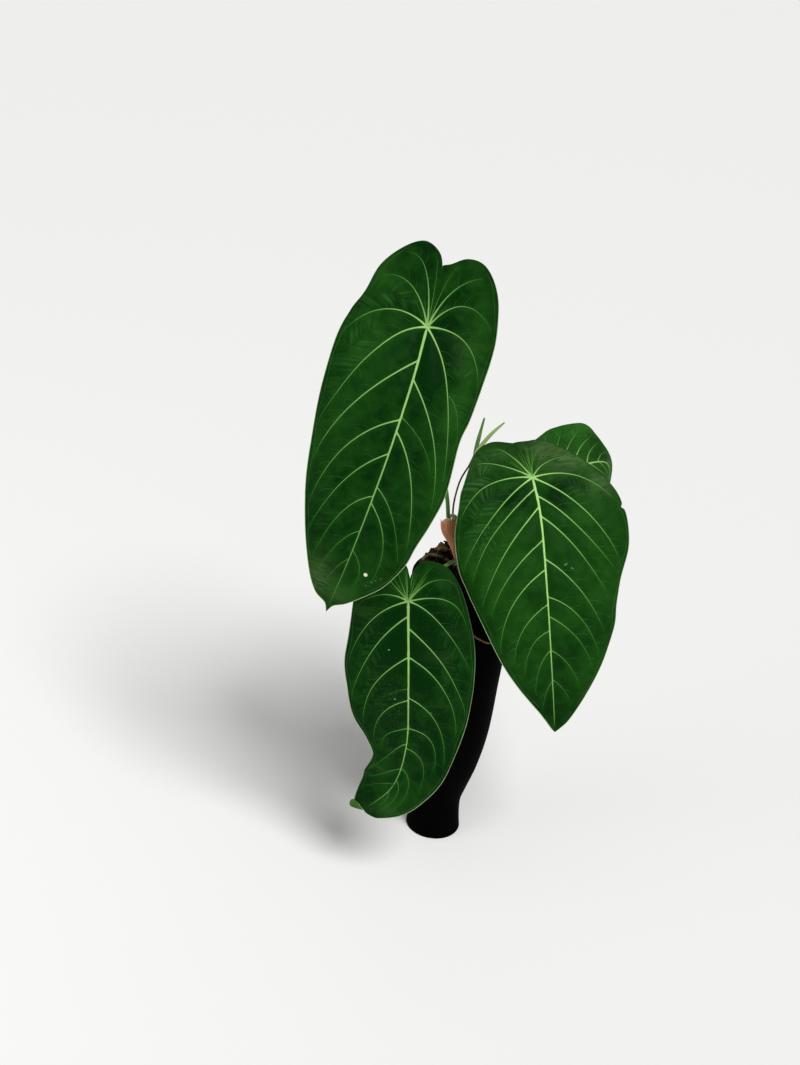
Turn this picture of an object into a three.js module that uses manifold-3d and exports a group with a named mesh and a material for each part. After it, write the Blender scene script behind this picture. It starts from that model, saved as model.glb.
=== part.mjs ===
// A potted anthurium hybrid: four pendant heart-shaped velvet leaves on slim petioles, a young
// flower stalk and papery sheaths, growing from a bark mix in a tall black footed planter.
// Millimetres, +Z up, origin at the middle of the planter's underside, leaf faces towards -Y.

import * as THREE from "three";
import { mergeVertices } from "three/addons/utils/BufferGeometryUtils.js";
import Module from "manifold-3d";

const wasm = await Module();
wasm.setup();

// Clearance between pieces that rest in or against each other
const GAP = 0.3;

// Planter
const POT_HEIGHT = 341;
const POT_RIM_RADIUS = 60.5;
const POT_FOOT_RADIUS = 32;
const POT_WALL = 4;
const POT_FLOOR = 10;
const POT_SEGMENTS = 36;
const DRAIN_RADIUS = 2.8;
const DRAIN_CIRCLE = 15;
const DRAIN_COUNT = 3;
const DRAIN_GROOVE = { width: 5, depth: 1.5 };
// Outside of the planter as [radius, height], from the foot up to below the rim
const POT_OUTSIDE = [
  [POT_FOOT_RADIUS, 1.5], [29.5, 20], [28.8, 42], [34, 64], [43, 99],
  [50, 148], [53, 225], [57, 290], [POT_RIM_RADIUS, 337],
];

// Bark mix
const MIX_EDGE_HEIGHT = 334;
const MIX_CROWN_HEIGHT = 350;
const BARK_CHIPS = 32;
const BARK_SPLINTERS = 9;

// Stem that carries the petioles
const STEM_RADIUS = 7.5;
const STEM_PATH = [[-6, 0, 326], [-8, 0, 350], [-12, 1, 372], [-15, 1, 384]];

// Stalks: a path from the stem outwards, a radius, and the swollen joint below a blade
const KNEE_LENGTH = 14;
const SEAT_RUN = 8;
const PETIOLES = {
  petiole_a: {
    radius: 2.2,
    knee: 2.9,
    path: [
      [-13, 0, 366], [-22, -3, 386], [-30, -4, 412], [-39, -8, 448], [-51, -18, 505],
      [-64, -28, 568], [-72, -34, 608], [-75, -43, 630],
    ],
  },
  petiole_b: {
    radius: 1.9,
    knee: 2.6,
    path: [
      [-14, 1, 374], [-22, 2, 390], [-26, 2, 406], [-23, 2, 415], [-14, 3, 419],
      [12, 6, 432], [38, 7, 454], [50, 1, 466],
    ],
  },
  petiole_c: {
    radius: 2.0,
    knee: 2.6,
    path: [
      [-6, -1, 354], [-3, -10, 362], [-8, -20, 370], [-17, -34, 375], [-29, -56, 377],
      [-43, -76, 373], [-55, -88, 365],
    ],
  },
  petiole_d: {
    radius: 1.8,
    knee: 2.3,
    path: [
      [-9, 1, 362], [2, 8, 374], [20, 20, 404], [42, 34, 430], [60, 40, 445],
    ],
  },
};

// Each blade: midrib from between the lobe tips, through the petiole junction, to the drip tip;
// outlines are [across, along] from the junction, along the midrib, one list for each half,
// from the notch between the lobes round to the tip.
const BLADE_THICKNESS = 0.9;
const SPOKE_SWEEP = 0.9;
const KEEL_SPREAD = 14;
const ARC_STEPS = 400;
const LEAVES = {
  leaf_a: {
    petiole: "petiole_a",
    midrib: [
      [-62, -50, 722], [-75, -62, 641], [-83, -88, 595],
      [-100, -116, 518], [-123, -132, 427], [-144, -134, 353],
    ],
    facing: [[0.05, -1, 0.35], [-0.1, -1, 0.3]],
    halfWidth: 85, droop: 14, keel: 2.5,
    lobeLength: 80, lobeLift: [4, -3],
    ripple: { height: 2.5, length: 95, shift: 10 },
    spokes: 30, rings: 6,
    left: [
      [-1, -57], [-8, -73], [-24, -80], [-42, -69], [-59, -46], [-67, -17], [-76, 4],
      [-83, 30], [-83, 84], [-78, 133], [-68, 185], [-53, 231], [-34, 271], [-19, 292],
      [-5, 300],
    ],
    right: [
      [1, -57], [6, -64], [20, -73], [36, -72], [50, -59], [61, -38], [68, -8], [69, 13],
      [67, 40], [65, 74], [62, 100], [66, 150], [62, 183], [57, 208], [54, 230], [43, 257],
      [30, 274], [15, 291], [4, 300],
    ],
  },
  leaf_b: {
    petiole: "petiole_b",
    midrib: [
      [39, -4, 510], [53, -16, 474], [66, -42, 440], [81, -74, 374], [98, -92, 289], [113, -92, 211],
    ],
    facing: [[0.15, -1, 0.45], [0.1, -1, 0.3]],
    halfWidth: 85, droop: 12, keel: 2.5,
    lobeLength: 40, lobeLift: [3, -3],
    ripple: { height: 2, length: 80, shift: 30 },
    spokes: 28, rings: 6,
    left: [
      [-11, -38], [-17, -42], [-34, -47], [-49, -43], [-60, -31], [-72, -9], [-81, 12],
      [-90, 52], [-90, 90], [-83, 113], [-70, 150], [-53, 194], [-38, 223], [-16, 259],
      [-4, 282],
    ],
    right: [
      [-9, -38], [2, -38], [20, -35], [43, -18], [69, 4], [87, 25], [95, 48], [92, 86],
      [81, 119], [74, 145], [70, 171], [56, 207], [33, 248], [16, 273], [7, 282],
    ],
  },
  leaf_c: {
    petiole: "petiole_c",
    midrib: [
      [-67, -96, 402], [-62, -108, 361], [-51, -126, 265],
      [-46, -130, 198], [-56, -128, 139], [-97, -122, 108],
    ],
    facing: [[-0.1, -1, 0.35], [0, -1, 0.3]],
    halfWidth: 70, droop: 10, keel: 2,
    lobeLength: 40, lobeLift: [3, -2],
    ripple: { height: 2, length: 70, shift: 0 },
    spokes: 28, rings: 5,
    left: [
      [1, -28], [-2, -38], [-12, -46], [-28, -46], [-44, -36], [-54, -18], [-58, 5],
      [-63, 40], [-68, 75], [-65, 102], [-58, 136], [-45, 163], [-35, 180], [-34, 199],
      [-37, 222], [-31, 248], [-21, 260], [-9, 268],
    ],
    right: [
      [3, -28], [9, -37], [23, -42], [40, -35], [52, -16], [61, 11], [68, 51], [68, 90],
      [63, 131], [54, 165], [46, 201], [36, 222], [28, 250], [15, 267], [4, 272],
    ],
  },
  leaf_d: {
    petiole: "petiole_d",
    midrib: [
      [42, 30, 452], [68, 42, 456], [104, 60, 459], [132, 80, 458], [152, 98, 440], [161, 108, 406],
    ],
    facing: [[-0.05, -0.45, 0.9], [0.9, -0.4, 0.4]],
    halfWidth: 60, droop: 8, keel: 2,
    lobeLength: 40, lobeLift: [2, -2],
    ripple: { height: 2.5, length: 60, shift: 0 },
    spokes: 20, rings: 5,
    left: [
      [-2, -14], [-8, -24], [-22, -24], [-36, -8], [-46, 14], [-53, 34], [-53, 56],
      [-49, 74], [-42, 88], [-32, 98], [-20, 106], [-10, 114], [-5, 122],
    ],
    right: [
      [2, -14], [8, -24], [22, -24], [36, -8], [46, 14], [54, 34], [53, 56], [47, 74],
      [41, 86], [30, 92], [18, 98], [9, 106], [5, 120],
    ],
  },
};

// Young flower: stalk, slim hood leaf and spike
const PEDUNCLE = {
  radius: 1.25,
  path: [
    [-13, 6, 374], [-19, 9, 392], [-23, 9, 411], [-25, 8, 428], [-24, 7, 443],
    [-22, 6, 456], [-17, 5, 466], [-9, 4, 486],
  ],
};
const SPADIX = { base: [-8.9, 4, 486.8], tip: [-5, 4, 528], radius: 2 };
const SPATHE = {
  midline: [[-9.45, 2.17, 484.6], [-7.6, 0.9, 490], [-3, -1, 497], [3, -3, 507], [17, -6, 528]],
  facing: [-0.3, -1, 0.2],
  halfWidth: 3,
  curl: 0.9,
  thickness: 0.7,
};

// Papery sheaths round the stem: midline, half-widths along it and how far the sides wrap back
const SHEATH_THICKNESS = 0.8;
const SHEATHS = {
  cataphyll_red: {
    midline: [[-13, -9, 357], [-17, -10.5, 368], [-23, -11.5, 383], [-28, -11.5, 398], [-29, -11, 413]],
    facing: [-0.25, -1, 0.1],
    halfWidths: [4, 7, 10, 11.5, 9],
    wrap: 4,
    ragged: 1.6,
    seed: 7,
    colour: 0xb56a48,
  },
  cataphyll_dry: {
    midline: [[-13, 9.5, 359], [-15, 12.5, 368], [-16, 15, 379], [-18, 19, 391]],
    facing: [-0.1, 1, 0.15],
    halfWidths: [6, 7.5, 7, 2],
    wrap: 3.5,
    ragged: 1,
    seed: 11,
    colour: 0x7a5a3a,
  },
};

// Aerial roots: they leave the stem or the mix and go back into it or hang over the rim
const ROOTS = {
  root_on_mix: {
    radius: 2.4,
    path: [[-8, 1, 343], [-21, 9, 352], [-36, 18, 357], [-48, 18, 352], [-51, 10, 337]],
  },
  root_over_rim: {
    radius: 1.1,
    path: [
      [20, -22, 340], [30, -36, 355], [42, -49, 352], [49, -54, 334], [47, -54, 310],
      [40, -57, 294], [30, -61, 290], [20, -63, 296], [10, -63, 304], [3, -62, 311],
    ],
  },
  root_back: {
    radius: 1.9,
    path: [[-6, 1, 341], [6, 14, 352], [21, 28, 354], [31, 37, 337]],
  },
};

const COLOURS = {
  pot: 0x0c0c0d, mix: 0x35261a, stem: 0x5c6334, petiole: 0x4f7b38, leaf: 0x17491b,
  peduncle: 0x3b3a22, spadix: 0x4d7d38, spathe: 0xa9c07c, root: 0x857a55,
};

// A seeded sequence of numbers from 0 to 1, so that every build is the same
function randomSequence(seed) {
  let state = seed;
  return () => {
    state = (state * 16807) % 2147483647;
    return state / 2147483647;
  };
}

function vector(point) {
  return new THREE.Vector3(...point);
}

function curveThrough(points) {
  return new THREE.CatmullRomCurve3(points.map(vector), false, "catmullrom", 0.5);
}

// One closed skin with shared vertices and no collapsed faces
function weld(geometry) {
  const plain = geometry.clone();
  for (const name of Object.keys(plain.attributes)) {
    if (name !== "position") plain.deleteAttribute(name);
  }
  const merged = mergeVertices(plain, 1e-3);
  const faces = [];
  for (let i = 0; i < merged.index.count; i += 3) {
    const [a, b, c] = [0, 1, 2].map((k) => merged.index.getX(i + k));
    if (a !== b && b !== c && c !== a) faces.push(a, b, c);
  }
  merged.setIndex(faces);
  return merged;
}

function toSolid(geometry) {
  const skin = weld(geometry);
  const mesh = new wasm.Mesh({
    numProp: 3,
    vertProperties: new Float32Array(skin.attributes.position.array),
    triVerts: new Uint32Array(skin.index.array),
  });
  return new wasm.Manifold(mesh);
}

function toGeometry(solid) {
  const mesh = solid.getMesh();
  const geometry = new THREE.BufferGeometry();
  geometry.setAttribute("position", new THREE.BufferAttribute(mesh.vertProperties, 3));
  geometry.setIndex(new THREE.BufferAttribute(mesh.triVerts, 1));
  return geometry;
}

// A round stalk along a smooth curve
function stalk(curve, radius, sides, steps) {
  const section = new THREE.Shape();
  section.absarc(0, 0, radius, 0, 2 * Math.PI, false);
  return new THREE.ExtrudeGeometry(section, {
    steps,
    curveSegments: sides / 2,
    bevelEnabled: false,
    extrudePath: curve,
  });
}

// A thin closed sheet over a grid of places, thickened to both sides along the given directions;
// a seamed sheet's first column meets itself, as two half blades do along their midrib
function thinSheet(grid, thickness, seamed = false) {
  const rows = grid.length;
  const columns = grid[0].length;
  const positions = [];
  for (const side of [0.5, -0.5]) {
    for (const row of grid) {
      for (const { place, normal } of row) {
        positions.push(...place.clone().addScaledVector(normal, side * thickness).toArray());
      }
    }
  }
  const faces = [];
  const front = (row, column) => row * columns + column;
  const back = (row, column) => rows * columns + row * columns + column;
  for (let row = 0; row < rows - 1; row += 1) {
    for (let column = 0; column < columns - 1; column += 1) {
      const corners = [[row, column], [row, column + 1], [row + 1, column + 1], [row + 1, column]];
      const [a, b, c, d] = corners.map(([r, k]) => front(r, k));
      const [e, f, g, h] = corners.map(([r, k]) => back(r, k));
      faces.push(a, b, c, a, c, d, e, g, f, e, h, g);
    }
  }
  const rim = [];
  for (let column = 0; column < columns - 1; column += 1) rim.push([0, column]);
  for (let row = 0; row < rows - 1; row += 1) rim.push([row, columns - 1]);
  for (let column = columns - 1; column > 0; column -= 1) rim.push([rows - 1, column]);
  for (let row = rows - 1; row > 0; row -= 1) rim.push([row, 0]);
  rim.forEach(([row, column], i) => {
    const [nextRow, nextColumn] = rim[(i + 1) % rim.length];
    if (seamed && column === 0 && nextColumn === 0) return;
    const [a, b] = [front(row, column), front(nextRow, nextColumn)];
    const [c, d] = [back(row, column), back(nextRow, nextColumn)];
    faces.push(a, c, b, b, c, d);
  });
  const geometry = new THREE.BufferGeometry();
  geometry.setAttribute("position", new THREE.Float32BufferAttribute(positions, 3));
  geometry.setIndex(faces);
  return geometry;
}

// The blade's own surface: a midrib in space and a drooping, rippled cross-section
class Blade {
  constructor(leaf) {
    this.leaf = leaf;
    this.curve = curveThrough(leaf.midrib);
    this.curve.arcLengthDivisions = ARC_STEPS;
    const lengths = this.curve.getLengths();
    this.whole = lengths.at(-1);
    this.lobeReach = lengths[Math.round(ARC_STEPS / (leaf.midrib.length - 1))];
    this.length = this.whole - this.lobeReach;
    this.facing = leaf.facing.map(vector);
  }

  frameAt(along) {
    const share = THREE.MathUtils.clamp((along + this.lobeReach) / this.whole, 0, 1);
    const heading = this.curve.getTangentAt(share);
    const turn = THREE.MathUtils.clamp(along / this.length, 0, 1);
    const towards = this.facing[0].clone().lerp(this.facing[1], turn);
    const across = towards.cross(heading).normalize();
    const normal = heading.clone().cross(across);
    const beyond = along + this.lobeReach < 0 ? along + this.lobeReach : Math.max(along - this.length, 0);
    const centre = this.curve.getPointAt(share).addScaledVector(heading, beyond);
    return { centre, across, normal };
  }

  heightAt(across, along, side) {
    const { halfWidth, droop, keel, lobeLength, lobeLift, ripple } = this.leaf;
    const outward = Math.abs(across);
    const lobe = THREE.MathUtils.smoothstep(-along, 0, lobeLength);
    const lift = side < 0 ? lobeLift[0] : lobeLift[1];
    const wave = Math.sin((2 * Math.PI * (along * side + ripple.shift)) / ripple.length);
    return (
      keel * (1 - Math.exp(-outward / KEEL_SPREAD)) - droop * (across / halfWidth) ** 2 +
      lift * lobe + ripple.height * (outward / halfWidth) ** 2 * wave
    );
  }

  placeAt(across, along, side) {
    const frame = this.frameAt(along);
    const place = frame.centre
      .addScaledVector(frame.across, across)
      .addScaledVector(frame.normal, this.heightAt(across, along, side));
    return { place, normal: frame.normal };
  }

  // Where the spokes start along the midrib: swept back from the margin, as the side veins are,
  // and the same for both halves
  spokeStarts(margins) {
    const starts = margins[0].map((end, i) => {
      const other = margins[1][i];
      const swept = (end.y + other.y - SPOKE_SWEEP * (Math.abs(end.x) + Math.abs(other.x))) / 2;
      return THREE.MathUtils.clamp(swept, 0, this.length);
    });
    for (let i = 1; i < starts.length; i += 1) starts[i] = Math.max(starts[i], starts[i - 1]);
    return starts;
  }

  spoke(start, end, side) {
    const { rings } = this.leaf;
    const spoke = [];
    for (let j = 0; j <= rings; j += 1) {
      const share = j / rings;
      spoke.push(this.placeAt(end.x * share, THREE.MathUtils.lerp(start, end.y, share), side));
    }
    return spoke;
  }

  // Spokes from the midrib out to the margin: down the left half to the tip, up the right half
  geometry(thickness = BLADE_THICKNESS) {
    const { left, right, spokes } = this.leaf;
    const tip = new THREE.Vector2(0, this.length);
    const margins = [left, right].map((outline) => {
      const points = outline.map((point) => new THREE.Vector2(...point));
      return new THREE.SplineCurve([...points, tip]).getPoints(spokes);
    });
    const starts = this.spokeStarts(margins);
    const [leftSpokes, rightSpokes] = margins.map((margin, half) =>
      margin.map((end, i) => this.spoke(starts[i], end, half === 0 ? -1 : 1)),
    );
    const grid = [...leftSpokes, ...rightSpokes.reverse().slice(1)];
    return weld(thinSheet(grid, thickness, true));
  }

  // The petiole's last two points: it comes up squarely to the back of the blade and stops there
  seat() {
    const { centre, normal } = this.frameAt(0);
    return [SEAT_RUN, BLADE_THICKNESS / 2 + GAP].map((back) =>
      centre.clone().addScaledVector(normal, -back).toArray(),
    );
  }

  // The room that a petiole leaves for the blade it carries
  clearance() {
    return toSolid(this.geometry(BLADE_THICKNESS + 2 * GAP));
  }
}

function planter() {
  const wall = outerWall();
  const insideTop = POT_RIM_RADIUS - POT_WALL;
  const profile = [
    new THREE.Vector2(0, 0),
    new THREE.Vector2(POT_FOOT_RADIUS - 1.5, 0),
    ...wall,
    new THREE.Vector2(POT_RIM_RADIUS - 0.6, POT_HEIGHT - 0.8),
    new THREE.Vector2(POT_RIM_RADIUS - 2, POT_HEIGHT),
    new THREE.Vector2(insideTop + 0.8, POT_HEIGHT - 0.4),
    new THREE.Vector2(insideTop, POT_HEIGHT - 1.6),
    ...insideProfile(wall, POT_WALL),
    new THREE.Vector2(0, POT_FLOOR),
  ];
  let solid = toSolid(new THREE.LatheGeometry(profile, POT_SEGMENTS).rotateX(Math.PI / 2));
  for (let i = 0; i < DRAIN_COUNT; i += 1) {
    const angle = (2 * Math.PI * i) / DRAIN_COUNT + Math.PI / 6;
    const drain = new THREE.CylinderGeometry(DRAIN_RADIUS, DRAIN_RADIUS, 3 * POT_FLOOR, 12)
      .rotateX(Math.PI / 2)
      .translate(DRAIN_CIRCLE, 0, 0);
    const groove = new THREE.BoxGeometry(2 * POT_FOOT_RADIUS, DRAIN_GROOVE.width, 2 * DRAIN_GROOVE.depth)
      .translate(DRAIN_CIRCLE + POT_FOOT_RADIUS, 0, 0);
    for (const cut of [drain, groove]) solid = solid.subtract(toSolid(cut.rotateZ(angle)));
  }
  return toGeometry(solid);
}

function outerWall() {
  return new THREE.SplineCurve(POT_OUTSIDE.map(([r, z]) => new THREE.Vector2(r, z))).getPoints(10);
}

// The planter's inner wall, from the top down to its floor, set in from the outer wall
function insideProfile(wall, inset) {
  return wall
    .filter((point) => point.y > POT_FLOOR + 8)
    .map((point) => new THREE.Vector2(point.x - inset, point.y))
    .reverse()
    .concat(new THREE.Vector2(POT_FOOT_RADIUS - inset - 2.4, POT_FLOOR + inset - POT_WALL));
}

// A rough chip of bark: a box with its corners knocked about
function barkChip(random, size, place) {
  const chip = new THREE.BoxGeometry(...size);
  const corners = weld(chip);
  const points = corners.attributes.position;
  for (let i = 0; i < points.count; i += 1) {
    const shrink = 0.65 + 0.35 * random();
    points.setXYZ(i, points.getX(i) * shrink, points.getY(i) * shrink, points.getZ(i) * shrink);
  }
  return corners
    .rotateX((random() - 0.5) * 1.2)
    .rotateY((random() - 0.5) * 1.2)
    .rotateZ(random() * Math.PI)
    .translate(...place);
}

function moundHeight(radius) {
  const share = radius / (POT_RIM_RADIUS - POT_WALL);
  return MIX_CROWN_HEIGHT - (MIX_CROWN_HEIGHT - MIX_EDGE_HEIGHT) * share ** 2;
}

function pottingMix(clearances) {
  const inside = insideProfile(outerWall(), POT_WALL + GAP)
    .reverse()
    .filter((point) => point.y < MIX_EDGE_HEIGHT);
  const edge = POT_RIM_RADIUS - POT_WALL - 2 * GAP;
  const profile = [new THREE.Vector2(0, POT_FLOOR + GAP), ...inside];
  for (const share of [1, 0.8, 0.55, 0.25, 0]) {
    profile.push(new THREE.Vector2(edge * share, moundHeight(edge * share)));
  }
  const parts = [toSolid(new THREE.LatheGeometry(profile, POT_SEGMENTS).rotateX(Math.PI / 2))];
  const random = randomSequence(41);
  for (let i = 0; i < BARK_CHIPS; i += 1) {
    const radius = 16 + 31 * Math.sqrt(random());
    const angle = 2.4 * i + random();
    const size = [7 + 7 * random(), 5 + 6 * random(), 4 + 4 * random()];
    const place = [radius * Math.cos(angle), radius * Math.sin(angle), moundHeight(radius) + 1.2];
    parts.push(toSolid(barkChip(random, size, place)));
  }
  for (let i = 0; i < BARK_SPLINTERS; i += 1) {
    const angle = 2.1 + 0.12 * i;
    const radius = 30 + 14 * random();
    const size = [2.6, 2.2, 17 + 6 * random()];
    const place = [radius * Math.cos(angle), radius * Math.sin(angle), moundHeight(radius) + 3];
    parts.push(toSolid(barkChip(random, size, place)));
  }
  let solid = parts.reduce((whole, part) => whole.add(part));
  for (const clearance of clearances) solid = solid.subtract(clearance);
  return toGeometry(largestPiece(solid));
}

function largestPiece(solid) {
  return solid.decompose().reduce((best, piece) => (piece.volume() > best.volume() ? piece : best));
}

// A path whose two ends reach a little further on
function lengthened(path, extra) {
  const ends = [[path[0], path[1]], [path.at(-1), path.at(-2)]].map(([end, next]) => {
    const outward = vector(end).sub(vector(next)).setLength(extra);
    return vector(end).add(outward).toArray();
  });
  return extra > 0 ? [ends[0], ...path.slice(1, -1), ends[1]] : path;
}

function stemSolid(extra) {
  const curve = curveThrough(lengthened(STEM_PATH, extra));
  const radius = STEM_RADIUS + extra;
  const column = toSolid(stalk(curve, radius, 12, 6));
  const top = new THREE.SphereGeometry(radius * 1.01, 12, 8)
    .rotateX(Math.PI / 2)
    .translate(...STEM_PATH.at(-1));
  return column.add(toSolid(top));
}

function petioleGeometry(name, spec, blade, stemClearance) {
  const curve = curveThrough([...spec.path, ...blade.seat()]);
  const whole = curve.getLength();
  const steps = Math.round(whole / 13);
  const kneePath = [];
  for (let i = 0; i <= 4; i += 1) {
    kneePath.push(curve.getPointAt(1 - (KNEE_LENGTH * (4 - i)) / 4 / whole).toArray());
  }
  const body = toSolid(stalk(curve, spec.radius, 8, steps));
  const knee = toSolid(stalk(curveThrough(kneePath), spec.knee, 8, 4));
  const solid = body.add(knee).subtract(stemClearance).subtract(blade.clearance());
  return toGeometry(largestPiece(solid));
}

function spatheGeometry() {
  const curve = curveThrough(SPATHE.midline);
  const facing = vector(SPATHE.facing).normalize();
  const grid = [];
  const rows = 12;
  for (let i = 0; i <= rows; i += 1) {
    const share = i / rows;
    const heading = curve.getTangentAt(share);
    const across = facing.clone().cross(heading).normalize();
    const normal = heading.clone().cross(across);
    const half = SPATHE.halfWidth * Math.sin(Math.PI * (0.12 + 0.86 * share)) ** 0.7;
    const row = [];
    for (let j = 2; j >= -2; j -= 1) {
      const place = curve.getPointAt(share)
        .addScaledVector(across, (half * j) / 2)
        .addScaledVector(normal, SPATHE.curl * (j / 2) ** 2);
      row.push({ place, normal });
    }
    grid.push(row);
  }
  return weld(thinSheet(grid, SPATHE.thickness));
}

function spadixGeometry() {
  const base = vector(SPADIX.base);
  const axis = vector(SPADIX.tip).sub(base);
  const height = axis.length();
  const profile = [[0, 0], [0.7, 0], [0.9, 0.05], [1, 0.3], [0.9, 0.7], [0.6, 0.95], [0, 1]];
  const points = profile.map(([r, z]) => new THREE.Vector2(r * SPADIX.radius, z * height));
  const upright = new THREE.Quaternion().setFromUnitVectors(new THREE.Vector3(0, 1, 0), axis.normalize());
  return weld(new THREE.LatheGeometry(points, 10).applyQuaternion(upright).translate(...SPADIX.base));
}

function sheathGeometry(spec) {
  const curve = curveThrough(spec.midline);
  const widths = new THREE.SplineCurve(spec.halfWidths.map((w, i) => new THREE.Vector2(i, w)));
  const facing = vector(spec.facing).normalize();
  const random = randomSequence(spec.seed);
  const rows = 10;
  const columns = 8;
  const grid = [];
  for (let i = 0; i <= rows; i += 1) {
    const share = i / rows;
    const heading = curve.getTangentAt(share);
    const across = facing.clone().cross(heading).normalize();
    const normal = heading.clone().cross(across);
    const half = widths.getPoint(share).y;
    const row = [];
    for (let j = 0; j <= columns; j += 1) {
      const u = 1 - (2 * j) / columns;
      const torn = i === rows ? spec.ragged * (random() - 0.3) : 0;
      const place = curve.getPointAt(share)
        .addScaledVector(across, half * u)
        .addScaledVector(normal, -spec.wrap * u * u)
        .addScaledVector(heading, torn);
      row.push({ place, normal: normal.clone().addScaledVector(across, 0.6 * u).normalize() });
    }
    grid.push(row);
  }
  return weld(thinSheet(grid, SHEATH_THICKNESS));
}

function mesh(name, geometry, colour, roughness) {
  const shown = geometry.toNonIndexed();
  shown.computeVertexNormals();
  const material = new THREE.MeshStandardMaterial({ color: colour, roughness, metalness: 0 });
  const piece = new THREE.Mesh(shown, material);
  piece.name = name;
  return piece;
}

const plant = new THREE.Group();
const stemClearance = stemSolid(GAP);
const mixClearances = [stemClearance];

plant.add(mesh("pot", planter(), COLOURS.pot, 0.55));
plant.add(mesh("stem", toGeometry(stemSolid(0)), COLOURS.stem, 0.7));

for (const [name, leaf] of Object.entries(LEAVES)) {
  const blade = new Blade(leaf);
  const petiole = petioleGeometry(leaf.petiole, PETIOLES[leaf.petiole], blade, stemClearance);
  plant.add(mesh(name, blade.geometry(), COLOURS.leaf, 0.6));
  plant.add(mesh(leaf.petiole, petiole, COLOURS.petiole, 0.6));
}

for (const [name, root] of Object.entries(ROOTS)) {
  const curve = curveThrough(root.path);
  const steps = Math.round(curve.getLength() / 7);
  const solid = toSolid(stalk(curve, root.radius, 8, steps)).subtract(stemClearance);
  plant.add(mesh(name, toGeometry(largestPiece(solid)), COLOURS.root, 0.8));
  const room = stalk(curveThrough(lengthened(root.path, GAP)), root.radius + GAP, 8, steps);
  mixClearances.push(toSolid(room));
}

const peduncleCurve = curveThrough(PEDUNCLE.path);
const peduncle = toSolid(stalk(peduncleCurve, PEDUNCLE.radius, 8, 12)).subtract(stemClearance);
plant.add(mesh("peduncle", toGeometry(largestPiece(peduncle)), COLOURS.peduncle, 0.6));
plant.add(mesh("spadix", spadixGeometry(), COLOURS.spadix, 0.6));
plant.add(mesh("spathe", spatheGeometry(), COLOURS.spathe, 0.6));
for (const [name, spec] of Object.entries(SHEATHS)) {
  const solid = toSolid(sheathGeometry(spec)).subtract(stemClearance);
  plant.add(mesh(name, toGeometry(largestPiece(solid)), spec.colour, 0.85));
}
plant.add(mesh("potting_mix", pottingMix(mixClearances), COLOURS.mix, 0.95));

export default plant;
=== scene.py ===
import bisect
import functools
import math

import bmesh
import bpy
from bpy.props import FloatProperty, FloatVectorProperty, IntProperty, PointerProperty
from bpy.types import Operator, Panel, PropertyGroup
from mathutils import Euler, Matrix, Vector, kdtree, noise


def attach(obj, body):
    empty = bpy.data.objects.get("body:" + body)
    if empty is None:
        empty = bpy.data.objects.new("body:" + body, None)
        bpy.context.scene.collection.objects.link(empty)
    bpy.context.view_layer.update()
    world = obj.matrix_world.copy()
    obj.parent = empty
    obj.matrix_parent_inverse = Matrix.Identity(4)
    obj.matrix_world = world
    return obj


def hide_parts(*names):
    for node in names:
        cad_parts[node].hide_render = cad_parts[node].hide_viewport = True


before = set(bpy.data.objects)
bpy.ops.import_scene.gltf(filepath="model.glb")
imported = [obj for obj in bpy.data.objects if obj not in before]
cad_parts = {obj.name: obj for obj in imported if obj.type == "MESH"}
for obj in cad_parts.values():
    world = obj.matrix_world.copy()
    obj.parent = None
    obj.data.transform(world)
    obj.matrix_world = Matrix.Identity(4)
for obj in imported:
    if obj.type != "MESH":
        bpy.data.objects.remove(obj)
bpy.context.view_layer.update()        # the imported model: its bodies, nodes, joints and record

bl_info = {
    "name": "Potted anthurium",
    "version": (1, 0, 0),
    "blender": (4, 5, 0),
    "location": "View3D > Sidebar > Anthurium",
    "description": "A velvet-leaved anthurium hybrid in a tall black planter",
    "category": "Add Mesh",
}

BODY = "root"
MM = 0.001  # shapes are written in millimetres and scaled once, as their points are placed

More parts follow.
